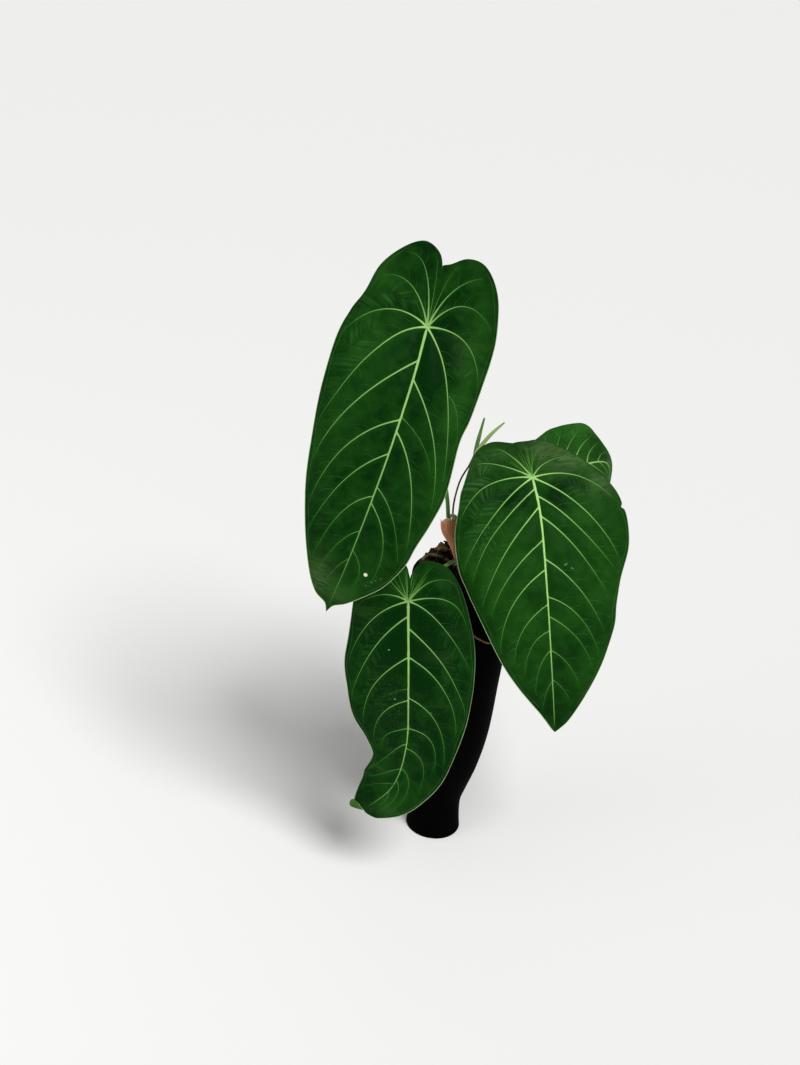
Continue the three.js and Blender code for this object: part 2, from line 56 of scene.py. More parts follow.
# Each blade: midrib from between the lobe tips, through the petiole junction, to the drip tip.
# Outlines are (across, along) from the junction, one list for each half, up the lobe's inner
# edge and round to the tip. Veins are (root, bend, end, vigour), where a root that is one number
# lies on the midrib. The patches of dust, shade, painted sheen and ribs are soft: (across, along,
# half-width, half-length, amount). Shade patches with a negative amount are painted shade, most
# of it in the creases beside the midrib; those with a positive amount lighten the green, partly as
# painted light and partly as real differences of tone. The sheen patches are painted sheen. The rib
# patches make fine puckers by bump and paint highlights on them. A ripple is (height, wavelength, shift).
LEAVES = {
    "leaf_a": {
        "midrib": [(-62, -50, 722), (-75, -62, 641), (-83, -88, 595),
                   (-100, -116, 518), (-123, -132, 427), (-144, -134, 353)],
        "facing": [(0.05, -1, 0.35), (-0.1, -1, 0.3)],
        "half_width": 85, "droop": 14, "keel": 2.5,
        "lobe_length": 80, "lobe_lift": (4, -3),
        "ripple": (2.5, 95, 10), "slit": 0.3, "age": 0.17,
        "dust": [(-24, 262, 14, 14, 0.3), (34, 262, 12, 12, 0.5)],
        "shade": [(15, 34, 12, 40, -0.7), (-50, 60, 24, 90, 0.25), (-58, -48, 14, 24, 0.45),
                  (54, 30, 14, 60, 0.4), (50, 150, 14, 60, 0.2), (8, 280, 16, 14, 0.6)],
        "painted_sheen": [(-24, 276, 17, 19, 1.0), (4, 286, 14, 10, 0.4), (44, 10, 10, 12, 0.2)],
        "branching": 0.45, "fan": 0.2, "vein_tone": 0.73, "fade": 0.8,
        "ribbing_and_highlight": [(-40, -20, 20, 12, 0.55), (-62, 30, 16, 50, 0.4), (50, 40, 14, 50, 0.3)],
        "outlines": [
            [(0.1, -4), (0.6, -18), (1, -37), (-1, -57), (-8, -73), (-24, -80), (-42, -69),
             (-59, -46), (-67, -17), (-76, 4), (-83, 30), (-83, 84), (-78, 133), (-68, 185),
             (-53, 231), (-34, 271), (-19, 292), (-5, 300)],
            [(-0.8, -4), (-3.4, -18), (-6, -34), (-6.5, -50), (-1.5, -60), (6, -64), (20, -73),
             (36, -72), (50, -59), (61, -38), (68, -8), (69, 13), (67, 40), (65, 74), (62, 100),
             (66, 150), (62, 183), (57, 208), (54, 230), (43, 257), (30, 274), (15, 291), (4, 300)],
        ],
        "veins": [
            [(0, (-4, -62), (-10, -69), 0.3), (0, (-11, -62), (-30, -66), 0.75),
             (0, (-22, -49), (-51, -39), 0.75), (0, (-41, -25), (-77, 20), 0.95),
             (0, (-47, 9), (-75, 115), 1.0), (34, (-67, 95), (-69, 166), 0.9),
             (94, (-54, 123), (-58, 199), 0.85), (129, (-39, 157), (-49, 228), 0.75),
             (174, (-30, 188), (-35, 253), 0.6), (212, (-20, 226), (-24, 268), 0.4),
             (244, (-11, 255), (-14, 284), 0.3)],
            [(0, (5, -56), (14, -64), 0.35), (0, (9, -47), (37, -58), 0.8),
             (0, (24, -48), (58, -16), 0.75), (0, (44, -11), (61, 35), 0.9),
             (0, (37, 32), (59, 136), 1.0), ((38, 58), (56, 68), (61, 112), 0.3),
             (53, (47, 101), (57, 164), 0.85), (91, (36, 108), (47, 140), 0.35),
             (106, (37, 138), (52, 226), 0.85), (164, (26, 178), (45, 226), 0.55),
             (181, (34, 208), (30, 252), 0.6), (234, (19, 246), (15, 269), 0.4)],
        ],
    },
    "leaf_b": {
        "midrib": [(39, -4, 510), (53, -16, 474), (66, -42, 440),
                   (81, -74, 374), (98, -92, 289), (113, -92, 211)],
        "facing": [(0.15, -1, 0.45), (0.1, -1, 0.3)],
        "half_width": 85, "droop": 12, "keel": 2.5,
        "lobe_length": 40, "lobe_lift": (3, -3),
        "ripple": (2, 80, 30), "slit": 0.3, "age": 0.4,
        "shade": [(20, 26, 12, 12, -0.5), (36, 14, 16, 8, -0.4), (-22, 20, 16, 12, -0.4),
                  (-50, 90, 30, 50, 0.25), (0, 250, 40, 40, -0.25), (60, 60, 20, 60, 0.15)],
        "painted_sheen": [(44, -12, 32, 14, 1.2), (72, 16, 14, 13, 1.0), (18, -26, 16, 12, 0.9),
                  (-38, -32, 26, 10, 0.45), (-62, -8, 14, 22, 0.35)],
        "branching": 0.7, "fan": 0.6, "vein_tone": 0.97, "fade": 0.55,
        "ribbing_and_highlight": [(-64, -14, 24, 28, 1.2), (-62, 50, 18, 34, 0.6), (50, 20, 20, 20, 0.3)],
        "outlines": [
            [(-0.9, -4.3), (-4.9, -21), (-11, -38), (-17, -42), (-34, -47), (-49, -43), (-60, -31),
             (-72, -9), (-81, 12), (-90, 52), (-90, 90), (-83, 113), (-70, 150), (-53, 194),
             (-38, 223), (-16, 259), (-4, 282)],
            [(-3.9, -12), (-10.9, -33), (-13.5, -39), (-9, -40), (2, -38.5), (20, -35), (43, -18),
             (69, 4), (86, 23), (91.5, 37), (89.6, 42), (93.6, 46), (94.6, 60), (92, 86),
             (81, 119), (74, 145), (70, 171), (56, 207), (33, 248), (16, 273), (7, 282)],
        ],
        "veins": [
            [(0, (-4, -22), (-7, -33), 0.4), (0, (-21, -40), (-33, -39), 0.7),
             (0, (-44, -36), (-59, -27), 0.75), (0, (-61, -18), (-83, 33), 0.85),
             (0, (-48, 18), (-83, 87), 0.9), (12, (-58, 48), (-76, 103), 0.8),
             (32, (-48, 74), (-68, 130), 0.85), (67, (-45, 99), (-58, 137), 0.75),
             (98, (-46, 124), (-53, 177), 0.75), (135, (-35, 153), (-39, 192), 0.6),
             (164, (-26, 171), (-29, 210), 0.5), (186, (-15, 196), (-19, 229), 0.45),
             (222, (-10, 232), (-12, 256), 0.3)],
            [(0, (0, -18), (17, -30), 0.5), (0, (13, -18), (45, -12), 0.7),
             (0, (48, -5), (87, 36), 0.85), (0, (63, 45), (80, 90), 0.9),
             (20, (42, 55), (73, 100), 0.85), (42, (39, 75), (63, 127), 0.8),
             (87, (37, 113), (57, 166), 0.75), (127, (37, 141), (51, 193), 0.6),
             (148, (34, 170), (43, 208), 0.5), (186, (18, 196), (28, 228), 0.45),
             (220, (12, 230), (18, 250), 0.3)],
        ],
    },
    "leaf_c": {
        "midrib": [(-67, -96, 402), (-62, -108, 361), (-51, -126, 265),
                   (-46, -130, 198), (-55, -128, 142), (-83.5, -124, 102.5)],
        "facing": [(-0.1, -1, 0.35), (0, -1, 0.3)],
        "half_width": 70, "droop": 10, "keel": 2,
        "lobe_length": 40, "lobe_lift": (3, -2),
        "ripple": (2, 70, 0), "slit": 0.4, "age": 0.06,
        "flap": [(-94.7, -123.6, 115.5), (-98.6, -122.6, 113.6), (-99.6, -122, 109), (-98.6, -122, 105.2),
                 (-92, -123, 103.4), (-84.2, -123.6, 101.9)],
        "dust": [(-14, 110, 16, 16, 0.9), (-20, 134, 16, 16, 1.0), (14, 150, 16, 16, 0.8),
                 (14, 112, 14, 14, 0.5), (-24, 88, 14, 14, 0.6), (-20, 165, 14, 14, 0.6),
                 (-3, 190, 16, 16, 0.6), (0, 262, 8, 8, 0.5)],
        "shade": [(20, 20, 14, 24, -0.35), (-20, 60, 22, 50, -0.35), (0, -24, 44, 30, 0.22),
                  (0, 200, 50, 50, 0.08), (16, 240, 20, 22, 0.3)],
        "painted_sheen": [(-22, 205, 14, 5, 0.35), (16, 250, 14, 12, 0.25), (-44, 14, 12, 10, 0.2),
                  (30, 60, 16, 6, 0.2), (44, 34, 10, 5, 0.2)],
        "branching": 0.25, "fan": 0.9, "vein_tone": 0.67, "fade": 0.6,
        "ribbing_and_highlight": [(-40, 70, 14, 70, 0.25), (44, 70, 14, 60, 0.25)],
        "outlines": [
            [(0.6, -4), (2, -14), (2, -24), (1, -28), (-2, -38), (-12, -46), (-28, -46),
             (-44, -36), (-54, -18), (-58, 5), (-63, 40), (-68, 73), (-65, 102), (-58, 136),
             (-45, 163), (-35, 181), (-33, 192), (-35, 215), (-34, 232), (-28, 249), (-23, 259),
             (-16, 269.5), (-11, 270), (-5, 271)],
            [(0.2, -4), (1, -14), (2.4, -24), (3.4, -28), (9, -37), (15, -41), (23, -42), (40, -35),
             (52, -16), (61, 11), (68, 51), (68, 90), (63, 131), (54, 165), (47, 200), (37, 224),
             (31, 239), (27, 248), (21, 259), (15.5, 267.5), (8, 271.5), (3, 272.5)],
        ],
        "veins": [
            [(0, (-2, -14), (-3, -32), 0.5), (0, (-5, -14), (-12, -36), 0.6),
             (0, (-13, -17), (-30, -34), 0.65), (0, (-24, -15), (-48, 2), 0.8),
             (0, (-41, 9), (-60, 58), 0.85), (16, (-42, 44), (-59, 103), 0.85),
             (61, (-46, 87), (-48, 134), 0.8), (97, (-13, 97), (-30, 109), 0.3),
             (110, (-37, 119), (-36, 159), 0.7), (144, (-28, 149), (-26, 168), 0.5),
             (164, (-10, 165), (-30, 207), 0.55), (197, (-16, 204), (-32, 238), 0.4),
             (220, (-14, 222), (-22, 250), 0.3)],
            [(0, (5, -14), (8, -33), 0.45), (0, (8, -17), (22, -34), 0.6),
             (0, (20, -28), (41, -22), 0.7), (0, (49, -15), (59, 24), 0.75),
             (0, (33, 7), (66, 81), 0.85), (29, (46, 68), (59, 123), 0.85),
             (61, (47, 87), (51, 149), 0.8), (107, (35, 123), (43, 179), 0.7),
             (144, (34, 147), (34, 189), 0.6), (169, (25, 173), (27, 211), 0.5),
             (196, (19, 204), (19, 246), 0.4), (214, (13, 222), (11, 258), 0.35),
             (232, (8, 238), (5, 264), 0.25)],
        ],
    },
    "leaf_d": {
        "midrib": [(42, 30, 452), (68, 42, 456), (104, 60, 459), (128, 76.5, 459.5),
                   (140, 87, 456), (146.5, 94, 447), (149.5, 98, 433), (151, 100.5, 414)],
        "facing": [(-0.05, -0.45, 0.9), (0.9, -0.4, 0.4)],
        "half_width": 60, "droop": 8, "keel": 2,
        "lobe_length": 40, "lobe_lift": (2, -2),
        "ripple": (2.5, 60, 0), "slit": 0.4, "age": 0.68,
        "shade": [(30, 80, 12, 12, -0.7), (12, 80, 14, 16, -0.6), (34, 44, 14, 14, -0.3),
                  (42, 66, 10, 20, 0.5), (-14, 76, 14, 20, -0.3)],
        "painted_sheen": [(-10, 100, 14, 20, 0.7)],
        "branching": 0.5, "fan": 0.3, "vein_tone": 0.85, "fade": 0.55,
        "ribbing_and_highlight": [(30, 50, 30, 40, 0.5)],
        "outlines": [
            [(-0.4, -3), (-2, -14), (-8, -24), (-22, -24), (-36, -8), (-46, 14), (-53, 34),
             (-55, 58), (-53, 76), (-48, 89), (-39, 100), (-27, 109), (-14, 119), (-5, 127)],
            [(0.4, -3), (2, -14), (8, -24), (22, -24), (36, -8), (46, 14), (54, 33), (53.6, 49),
             (50.6, 62), (47.5, 72), (42, 77.5), (34, 80.5), (27, 83.5), (20.5, 87), (14, 94),
             (8, 106), (3.8, 120)],
        ],
        "veins": [
            [(0, (-6, -14), (-17, -18), 0.6), (0, (-22, -10), (-34, 8), 0.8),
             (0, (-26, 12), (-46, 40), 0.85), (18, (-28, 34), (-46, 62), 0.8),
             (38, (-28, 52), (-42, 78), 0.75), (60, (-14, 72), (-26, 92), 0.55),
             (75, (-9, 81), (-20, 96), 0.5), (92, (-8, 98), (-15, 116), 0.4),
             (108, (-4, 112), (-7, 121), 0.3)],
            [(0, (6, -14), (17, -18), 0.6), (0, (22, -10), (36, 4), 0.8),
             (0, (24, 8), (48, 26), 0.85), (10, (26, 25), (51, 51), 0.7),
             (22, (22, 34), (43, 70), 0.85), (38, (20, 52), (31, 76), 0.9),
             (57, (14, 63), (22, 81), 0.75), (73, (9, 78), (13, 89), 0.55),
             (88, (5, 94), (7, 103), 0.4), (104, (3, 108), (4, 115), 0.3)],
        ],
    },
}

# Small marks on the upper faces: place in a blade's pattern, radius, strength and colour. The
# third number of the place is 40 on a right half, and 130 more for each blade after the first.
LEAF_SPOTS = (
    ((21.5, 251.5, 40), 2.0, 1.0, "dcdcc8"),
    ((-1.6, -11, 0), 2.0, 0.9, "3a2414"), ((-1.2, -14.5, 0), 1.5, 0.8, "33200f"),
    ((1.4, -11, 40), 1.6, 0.8, "4a3018"),
    ((30, 257, 40), 0.7, 0.5, "7da060"), ((33, 254, 40), 0.6, 0.4, "7da060"),
    ((37, 250, 40), 0.6, 0.4, "7da060"), ((26, 262, 40), 0.6, 0.4, "7da060"),
    ((20.5, 94.5, 170), 1.0, 0.5, "84a484"), ((22, 93.6, 170), 0.8, 0.4, "84a484"),
    ((27, 98.5, 170), 0.9, 0.4, "84a484"), ((28.6, 99.4, 170), 0.7, 0.35, "84a484"),
    ((-20, 52, 260), 0.8, 0.6, "9cc07c"), ((-14, 108, 260), 0.9, 0.5, "9cb890"),
    ((24, 124, 300), 0.8, 0.5, "9cb890"),
)

# Petioles: radius, swollen knee under the blade, and the path from the stem to the blade
PETIOLES = {
    "petiole_a": ("leaf_a", 2.2, 2.9, [
        (-13, 0, 366), (-22, -3, 386), (-28.5, -4.5, 410), (-33.5, -6, 438), (-50, -17, 505),
        (-64, -28, 568), (-72, -34, 608), (-75, -43, 630)]),
    "petiole_b": ("leaf_b", 1.9, 2.6, [
        (-14, 1, 374), (-23, 2, 391), (-27.5, 2, 406), (-24.3, 2, 411), (-18.5, 2, 408.5),
        (-6, 4, 410), (14, 8, 427), (36, 8, 452), (48, 2, 465)]),
    "petiole_c": ("leaf_c", 2.0, 2.6, [
        (-6, -1, 354), (-3, -10, 362), (-8, -20, 370), (-17, -34, 375), (-29, -56, 377),
        (-43, -76, 373), (-55, -88, 365)]),
    "petiole_d": ("leaf_d", 1.8, 2.3, [
        (-9, 1, 362), (2, 8, 374), (20, 20, 404), (42, 34, 430), (60, 40, 445)]),
}
SEAT_RUN = 8
KNEE_LENGTH = 14

# Distances between the points of the margins, the veins and their branches
MARGIN_STEP = 2.2
VEIN_STEP = 3
BRANCH_STEP = 2.4
# How far a strand stands out of the blade, the half-width from which it does so fully, both in
# metres, and what it rises further as a share of its half-width
STRAND_RISE = 0.00012
STRAND_FULL = 0.00018
STRAND_ROUND = 0.34
BRANCH_WIDTH = 0.00095
BRANCH_STRENGTH = 0.24
COLLECTING_WIDTH = 0.0005

STEM = (7.5, [(-6, 0, 326), (-8, 0, 350), (-12, 1, 372), (-15, 1, 384), (-16.5, 1, 391)])
PEDUNCLE = (1.05, [
    (-13, 6, 374), (-20, 9, 392), (-23.7, 9, 408), (-24.3, 8.5, 424), (-22.4, 8, 442),
    (-20.2, 6.5, 453), (-16.9, 6, 462), (-13.4, 5, 470.5), (-9.2, 4, 485)])
SPADIX = (2.1, [(-9.6, 4.2, 483), (-7.2, 4, 505), (-4.4, 4, 527)])
SPATHE = {
    "midline": [(-9.45, 2.17, 484.6), (-6.5, 0.5, 491), (-1, -1.5, 501), (6, -3.5, 513), (17, -6, 528)],
    "facing": (-0.85, -0.5, 0.55), "half_width": 2.9, "curl": 1.3,
}
SHEATHS = {
    "cataphyll_red": {
        "midline": [(-12.5, -9, 357), (-15, -10.5, 368), (-19.5, -11.5, 383), (-26, -11.5, 398),
                    (-29, -11, 413)],
        "facing": (-0.25, -1, 0.1), "half_widths": (3, 5, 7.4, 9.8, 9.5), "wrap": 4,
        "ribs": 11, "ragged": 2.2, "slope": 5, "seed": 7, "slot": "sheath_red",
    },
    "cataphyll_dry": {
        "midline": [(-13, 9.5, 359), (-15, 12.5, 368), (-16, 15, 379), (-18, 19, 391)],
        "facing": (-0.1, 1, 0.15), "half_widths": (6, 7.5, 7, 2), "wrap": 3.5,
        "ribs": 9, "ragged": 2, "slope": 0, "seed": 11, "slot": "sheath_dry",
    },
}
ROOTS = {
    "root_on_mix": (2.0, [(-8, 1, 343), (-21, 9, 350), (-36, 17, 352.5), (-48, 17, 349),
                          (-52, 9, 337)]),
    "root_over_rim": (1.1, [
        (20, -22, 340), (30, -36, 355), (42, -49, 352), (49, -54, 334), (47, -54, 310),
        (40, -57, 297), (30, -61, 294.5), (20, -63, 298.5), (10, -63, 304.5), (3, -62, 311)]),
    "root_back": (1.9, [(-6, 1, 341), (6, 14, 352), (21, 28, 354), (31, 37, 337)]),
}

# Planter: the outside as (radius, height), from the foot up to below the rim
POT_OUTSIDE = [(32, 1.5), (29.5, 20), (28.8, 42), (34, 64), (43, 99), (50, 148), (53, 225),
               (57, 290), (60.5, 337)]
POT_HEIGHT = 341
POT_WALL = 4
POT_FLOOR = 10
DRAINS = {"count": 3, "circle": 15, "radius": 2.8, "groove_width": 5, "groove_depth": 1.5}

# Bark mix: a mound inside the rim with chips, splinters, crumbs and moss on it. Chips on the
# front right, further than a set distance from the middle, are darker: painted shade under the leaves.
MIX_RADIUS = 56.2
MIX_EDGE_HEIGHT = 334
MIX_CROWN_HEIGHT = 350
MIX_FALL_RADIUS = 56.5
SHADED_SIDE = Vector((0.6, -0.8))
SHADE_LINE = 8
PAINTED_SHADE_DIM = 0.3
CHIP_SHADES = (0.2, 0.34, 0.15, 0.5, 0.28, 0.18, 0.72, 0.3, 0.22, 0.42)
TURN_BETWEEN_CHIPS = 2.4
CHIP_CORNERS = [(1, 1, 1), (1, 1, -1), (1, -1, 1), (1, -1, -1),
                (-1, 1, -1), (-1, 1, 1), (-1, -1, -1), (-1, -1, 1)]
# Chips that the photograph shows heaped on the back left of the rim: their bearing in degrees,
# distance from the middle, height, size and tone
HEAPED_CHIPS = (
    (163, 50, 343.5, (9, 13, 7), 0.45), (150, 50, 345.5, (12, 10, 7), 0.4),
    (140, 49, 347, (10, 15, 7), 0.35), (131, 50.5, 350, (5.5, 15, 6), 1.0),
    (124, 51, 351, (4.5, 11, 5), 0.85), (118, 50, 351, (7, 8, 7), 0.5),
    (128, 45, 352, (9, 8, 6), 0.75), (112, 48, 351, (8, 7, 6), 0.6),
    (104, 50, 350, (9, 8, 8), 0.45), (95, 50, 349, (8, 9, 7), 0.35),
    (136, 51.5, 351.5, (1.2, 9, 1.4), 0.3), (126, 51.5, 355.5, (1.3, 8, 1.5), 0.3),
    (121, 50.5, 357, (1.6, 7, 1.8), 0.35), (117, 50.5, 357.5, (1.4, 6, 1.6), 0.4),
    (129, 51, 354.5, (3.5, 5, 2), 0.7), (133, 46, 352.5, (4, 7, 3), 0.95),
)
MOSS_TUFTS = [(-29, 41), (-27, 44), (-22, 44), (-25, 38), (-12, 46), (-36, 32), (-33, 38), (33, 8)]

# The photograph's camera
CAMERA = {"place": (-78.53, -1432.38, 1113.71), "down": 27.0, "roll": 6.53, "lens": 50.0, "film": 36.0}


def tone(code):
    """A colour written as six hexadecimal digits, as linear red, green, blue and alpha."""
    values = [int(code[i:i + 2], 16) / 255 for i in (0, 2, 4)]
    linear = [v / 12.92 if v <= 0.04045 else ((v + 0.055) / 1.055) ** 2.4 for v in values]
    return (*linear, 1.0)


def colour(name, code, description):
    return FloatVectorProperty(name=name, description=description, subtype="COLOR", size=4,
                               min=0, max=1, default=tone(code))


def length(name, metres, description):
    return FloatProperty(name=name, description=description, default=metres, min=0,
                         subtype="DISTANCE", unit="LENGTH")


class LeafSettings(PropertyGroup):
    thickness: length("Thickness", 0.0006, "Thickness of a blade")
    quilt_height: length("Quilting", 0.0032, "How far the blade swells between its veins")
    pucker: length("Puckers", 0.0005, "Height of the fine unevenness of a blade")
    vein_width: length("Vein width", 0.0021, "Width of the strongest side veins at their roots")
    midrib_width: length("Midrib width", 0.0042, "Width of the midrib at the petiole junction")
    margin_radius: length("Margin", 0.00045, "Radius of the pale thickened margin")
    spokes: IntProperty(name="Spokes", description="Faces along each half of a blade",
                        default=200, min=40, max=400)
    rings: IntProperty(name="Rings", description="Faces from the midrib to the margin",
                       default=42, min=8, max=80)
    dark: colour("Dark green", "022604", "Deepest green of the upper face")
    light: colour("Light green", "215214", "Lighter green of the upper face")
    under: colour("Underside", "365b1e", "Green of the lower face")
    vein: colour("Veins", "b2e084", "Pale green of the main veins")
    margin: colour("Margin", "a8c08c", "Colour of the margin line")


class StalkSettings(PropertyGroup):
    petiole: colour("Petioles", "4d7a33", "Green of the petioles")
    petiole_young: colour("Young petiole", "b9d8a0", "Pale green of the youngest petiole")
    petiole_pale: colour("Petiole flecks", "8fa56a", "Pale flecks and streaks on the petioles")
    # The peduncle's colour is its own green darkened to the tone of its shaded lower part: partly painted
    # shade.
    peduncle: colour("Peduncle", "38341f", "Dark green brown of the flower stalk")
    spadix: colour("Spadix", "4f7f37", "Green of the flower spike")
    spathe: colour("Spathe", "a3c077", "Pale green of the hood leaf")
    stem: colour("Stem", "555a30", "Green brown of the stem")
    sheath: colour("Sheath", "dc9468", "Red brown of the papery sheath")
    sheath_dry: colour("Dry sheath", "6d4f34", "Brown of the old sheath")
    root: colour("Roots", "7f7550", "Olive grey of the aerial roots")
    root_tan: colour("Thin root", "a4825a", "Tan of the thin hanging root")


class MixSettings(PropertyGroup):
    bark_dark: colour("Dark bark", "17110b", "Wet bark and soil")
    bark: colour("Bark", "3d2a1b", "Mid brown bark")
    bark_tan: colour("Fresh bark", "a98a55", "Tan broken faces of the bark")
    moss: colour("Moss", "5f6f33", "Green of the moss")
    chips: IntProperty(name="Small chips", description="Small chips between the large ones",
                       default=170, min=0, max=600)
    crumbs: IntProperty(name="Crumbs", description="Crumbs on the mix", default=420, min=0, max=2000)
    moss_strands: IntProperty(name="Moss strands", description="Strands of moss", default=260,
                              min=0, max=1000)


class PotSettings(PropertyGroup):
    body: colour("Planter", "020203", "Near black of the planter")
    speck: colour("Specks", "0a0a0b", "Faint specks in the finish")
    segments: IntProperty(name="Segments", description="Faces round the planter", default=128,
                          min=32, max=256)


class StageSettings(PropertyGroup):
    floor: colour("Floor", "f2f2f0", "Colour of the floor")
    key: FloatProperty(name="Key light", description="Strength of the soft light from above",
                       default=2.55, min=0, max=20)
    fill: FloatProperty(name="Fill light", description="Power of the fill light", default=7,
                        min=0, unit="POWER")
    sky: FloatProperty(name="Surroundings", description="Strength of the even light", default=0.32,
                       min=0, max=5)


class SmoothPath:
    """A smooth curve through points, in the plane or in space, read by the distance along it."""

    def __init__(self, points, free_ends=True, steps=40):
        knots = [Vector(point) for point in points]
        before, after = knots[0], knots[-1]
        if free_ends:
            before = 2 * knots[0] - knots[1]
            after = 2 * knots[-1] - knots[-2]
        padded = [before, *knots, after]
        self.places = [knots[0]]
        for a, b, c, d in zip(padded, padded[1:], padded[2:], padded[3:]):
            for step in range(1, steps + 1):
                self.places.append(self.between(a, b, c, d, step / steps))
        self.distances = [0.0]
        for near, far in zip(self.places, self.places[1:]):
            self.distances.append(self.distances[-1] + (far - near).length)
        self.knots = self.distances[::steps]
        self.length = self.distances[-1]

    @staticmethod
    def between(a, b, c, d, t):
        leave, arrive = (c - a) / 2, (d - b) / 2
        return ((2 * b - 2 * c + leave + arrive) * t ** 3
                + (3 * c - 3 * b - 2 * leave - arrive) * t ** 2 + leave * t + b)

    def at(self, distance):
        i = min(max(bisect.bisect_right(self.distances, distance), 1), len(self.distances) - 1)
        start, end = self.distances[i - 1], self.distances[i]
        share = (min(max(distance, 0), self.length) - start) / max(end - start, 1e-9)
        return self.places[i - 1].lerp(self.places[i], share)

    def heading(self, distance, reach=1.5):
        ahead = self.at(min(distance + reach, self.length))
        return (ahead - self.at(max(distance - reach, 0))).normalized()


def smooth(value):
    value = min(max(value, 0), 1)
    return value * value * (3 - 2 * value)


class Vein:
    """A vein's line on a blade, as (across, along)."""

    def __init__(self, root, bend, end, vigour):
        self.root = Vector(root) if isinstance(root, tuple) else Vector((0, root))
        self.bend = Vector(bend)
        self.end = Vector(end)
        self.vigour = vigour
        self.reach = (self.bend - self.root).length + (self.end - self.bend).length

    def at(self, share):
        near = self.root.lerp(self.bend, share)
        return near.lerp(self.bend.lerp(self.end, share), share)


class Blade:
    """A blade's surface: a midrib in space with a drooping, rippled and quilted cross-section."""

    def __init__(self, name, settings):
        self.leaf = LEAVES[name]
        self.order = list(LEAVES).index(name)
        self.settings = settings
        self.path = SmoothPath(self.leaf["midrib"])
        self.lobe_reach = self.path.knots[1]
        self.length = self.path.length - self.lobe_reach
        self.facing = [Vector(facing) for facing in self.leaf["facing"]]
        self.first = -math.ceil(self.lobe_reach) - 12
        count = math.ceil(self.length) + 14 - self.first
        self.frames = [self.frame(self.first + i) for i in range(count)]
        self.veins = [[Vein(*spec) for spec in half] for half in self.leaf["veins"]]
        tip = (0, self.length)
        self.margins = [SmoothPath([(0, 0), *half, tip], False) for half in self.leaf["outlines"]]

    @functools.cached_property
    def reliefs(self):
        return [Relief(self, side) for side in (0, 1)]

    def frame(self, along):
        distance = along + self.lobe_reach
        inside = min(max(distance, 0), self.path.length)
        heading = self.path.heading(inside, 1.0)
        turn = min(max(along / self.length, 0), 1)
        across = self.facing[0].lerp(self.facing[1], turn).cross(heading).normalized()
        centre = self.path.at(inside) + heading * (distance - inside)
        return centre, across, heading.cross(across)

    def frame_at(self, along):
        spot = min(max(along - self.first, 0), len(self.frames) - 1.001)
        i = int(spot)
        near, far = self.frames[i], self.frames[i + 1]
        return [a.lerp(b, spot - i) for a, b in zip(near, far)]

    def place(self, x, y, side):
        """The point of the blade at (x, y) in millimetres, in metres in the frame."""
        leaf = self.leaf
        centre, across, normal = self.frame_at(y)
        outward = abs(x)
        wide = (outward / leaf["half_width"]) ** 2
        high, wavelength, shift = leaf["ripple"]
        wave = math.sin(2 * math.pi * (y * (1 if side else -1) + shift) / wavelength)
        lobe = smooth(-y / leaf["lobe_length"])
        raised = leaf["keel"] * (1 - math.exp(-outward / 14)) - leaf["droop"] * wide
        raised += leaf["lobe_lift"][side] * lobe + high * wide * wave
        raised += self.reliefs[side].at(x, y)[0]
        slit = leaf["slit"] * math.exp(-((y + 6) / 3.5) ** 2 - outward / 3)
        return (centre + across * (x + (slit if side else -slit)) + normal * raised) * MM

    def texture_place(self, x, y, side):
        """Where a point's pattern is read, apart from those of the other halves and blades."""
        return Vector((x, y, 40 * side + 130 * self.order)) * MM

    def patch(self, kind, x, y):
        """How strongly the patches of a kind cover a point."""
        return sum(amount * math.exp(-((x - px) / wide) ** 2 - ((y - py) / high) ** 2)
                   for px, py, wide, high, amount in self.leaf.get(kind, ()))

    def surface(self, x, y, side):
        """A point of the blade with its own normal."""
        step = 0.6
        run = self.place(x + step, y, side) - self.place(x - step, y, side)
        rise = self.place(x, y + step, side) - self.place(x, y - step, side)
        return self.place(x, y, side), rise.cross(run).normalized()

    def strip(self, points, side):
        """Frames of (centre, side, normal) through points of the blade."""
        spots = [self.surface(point.x, point.y, side) for point in points]
        frames = []
        for i, (centre, normal) in enumerate(spots):
            run = spots[min(i + 1, len(spots) - 1)][0] - spots[max(i - 1, 0)][0]
            frames.append((centre, run.cross(normal).normalized(), normal))
        return frames

    def spoke_start(self, share):
        """Where a spoke leaves the midrib: swept back from the margin, as the side veins are."""
        ends = [margin.at(share * margin.length) for margin in self.margins]
        swept = sum(end.y - 0.9 * abs(end.x) for end in ends) / 2
        return min(max(swept, 0), self.length)

    def seat(self):
        centre, _, normal = self.frame_at(0)
        return [centre - normal * back for back in (SEAT_RUN, 0.2)]


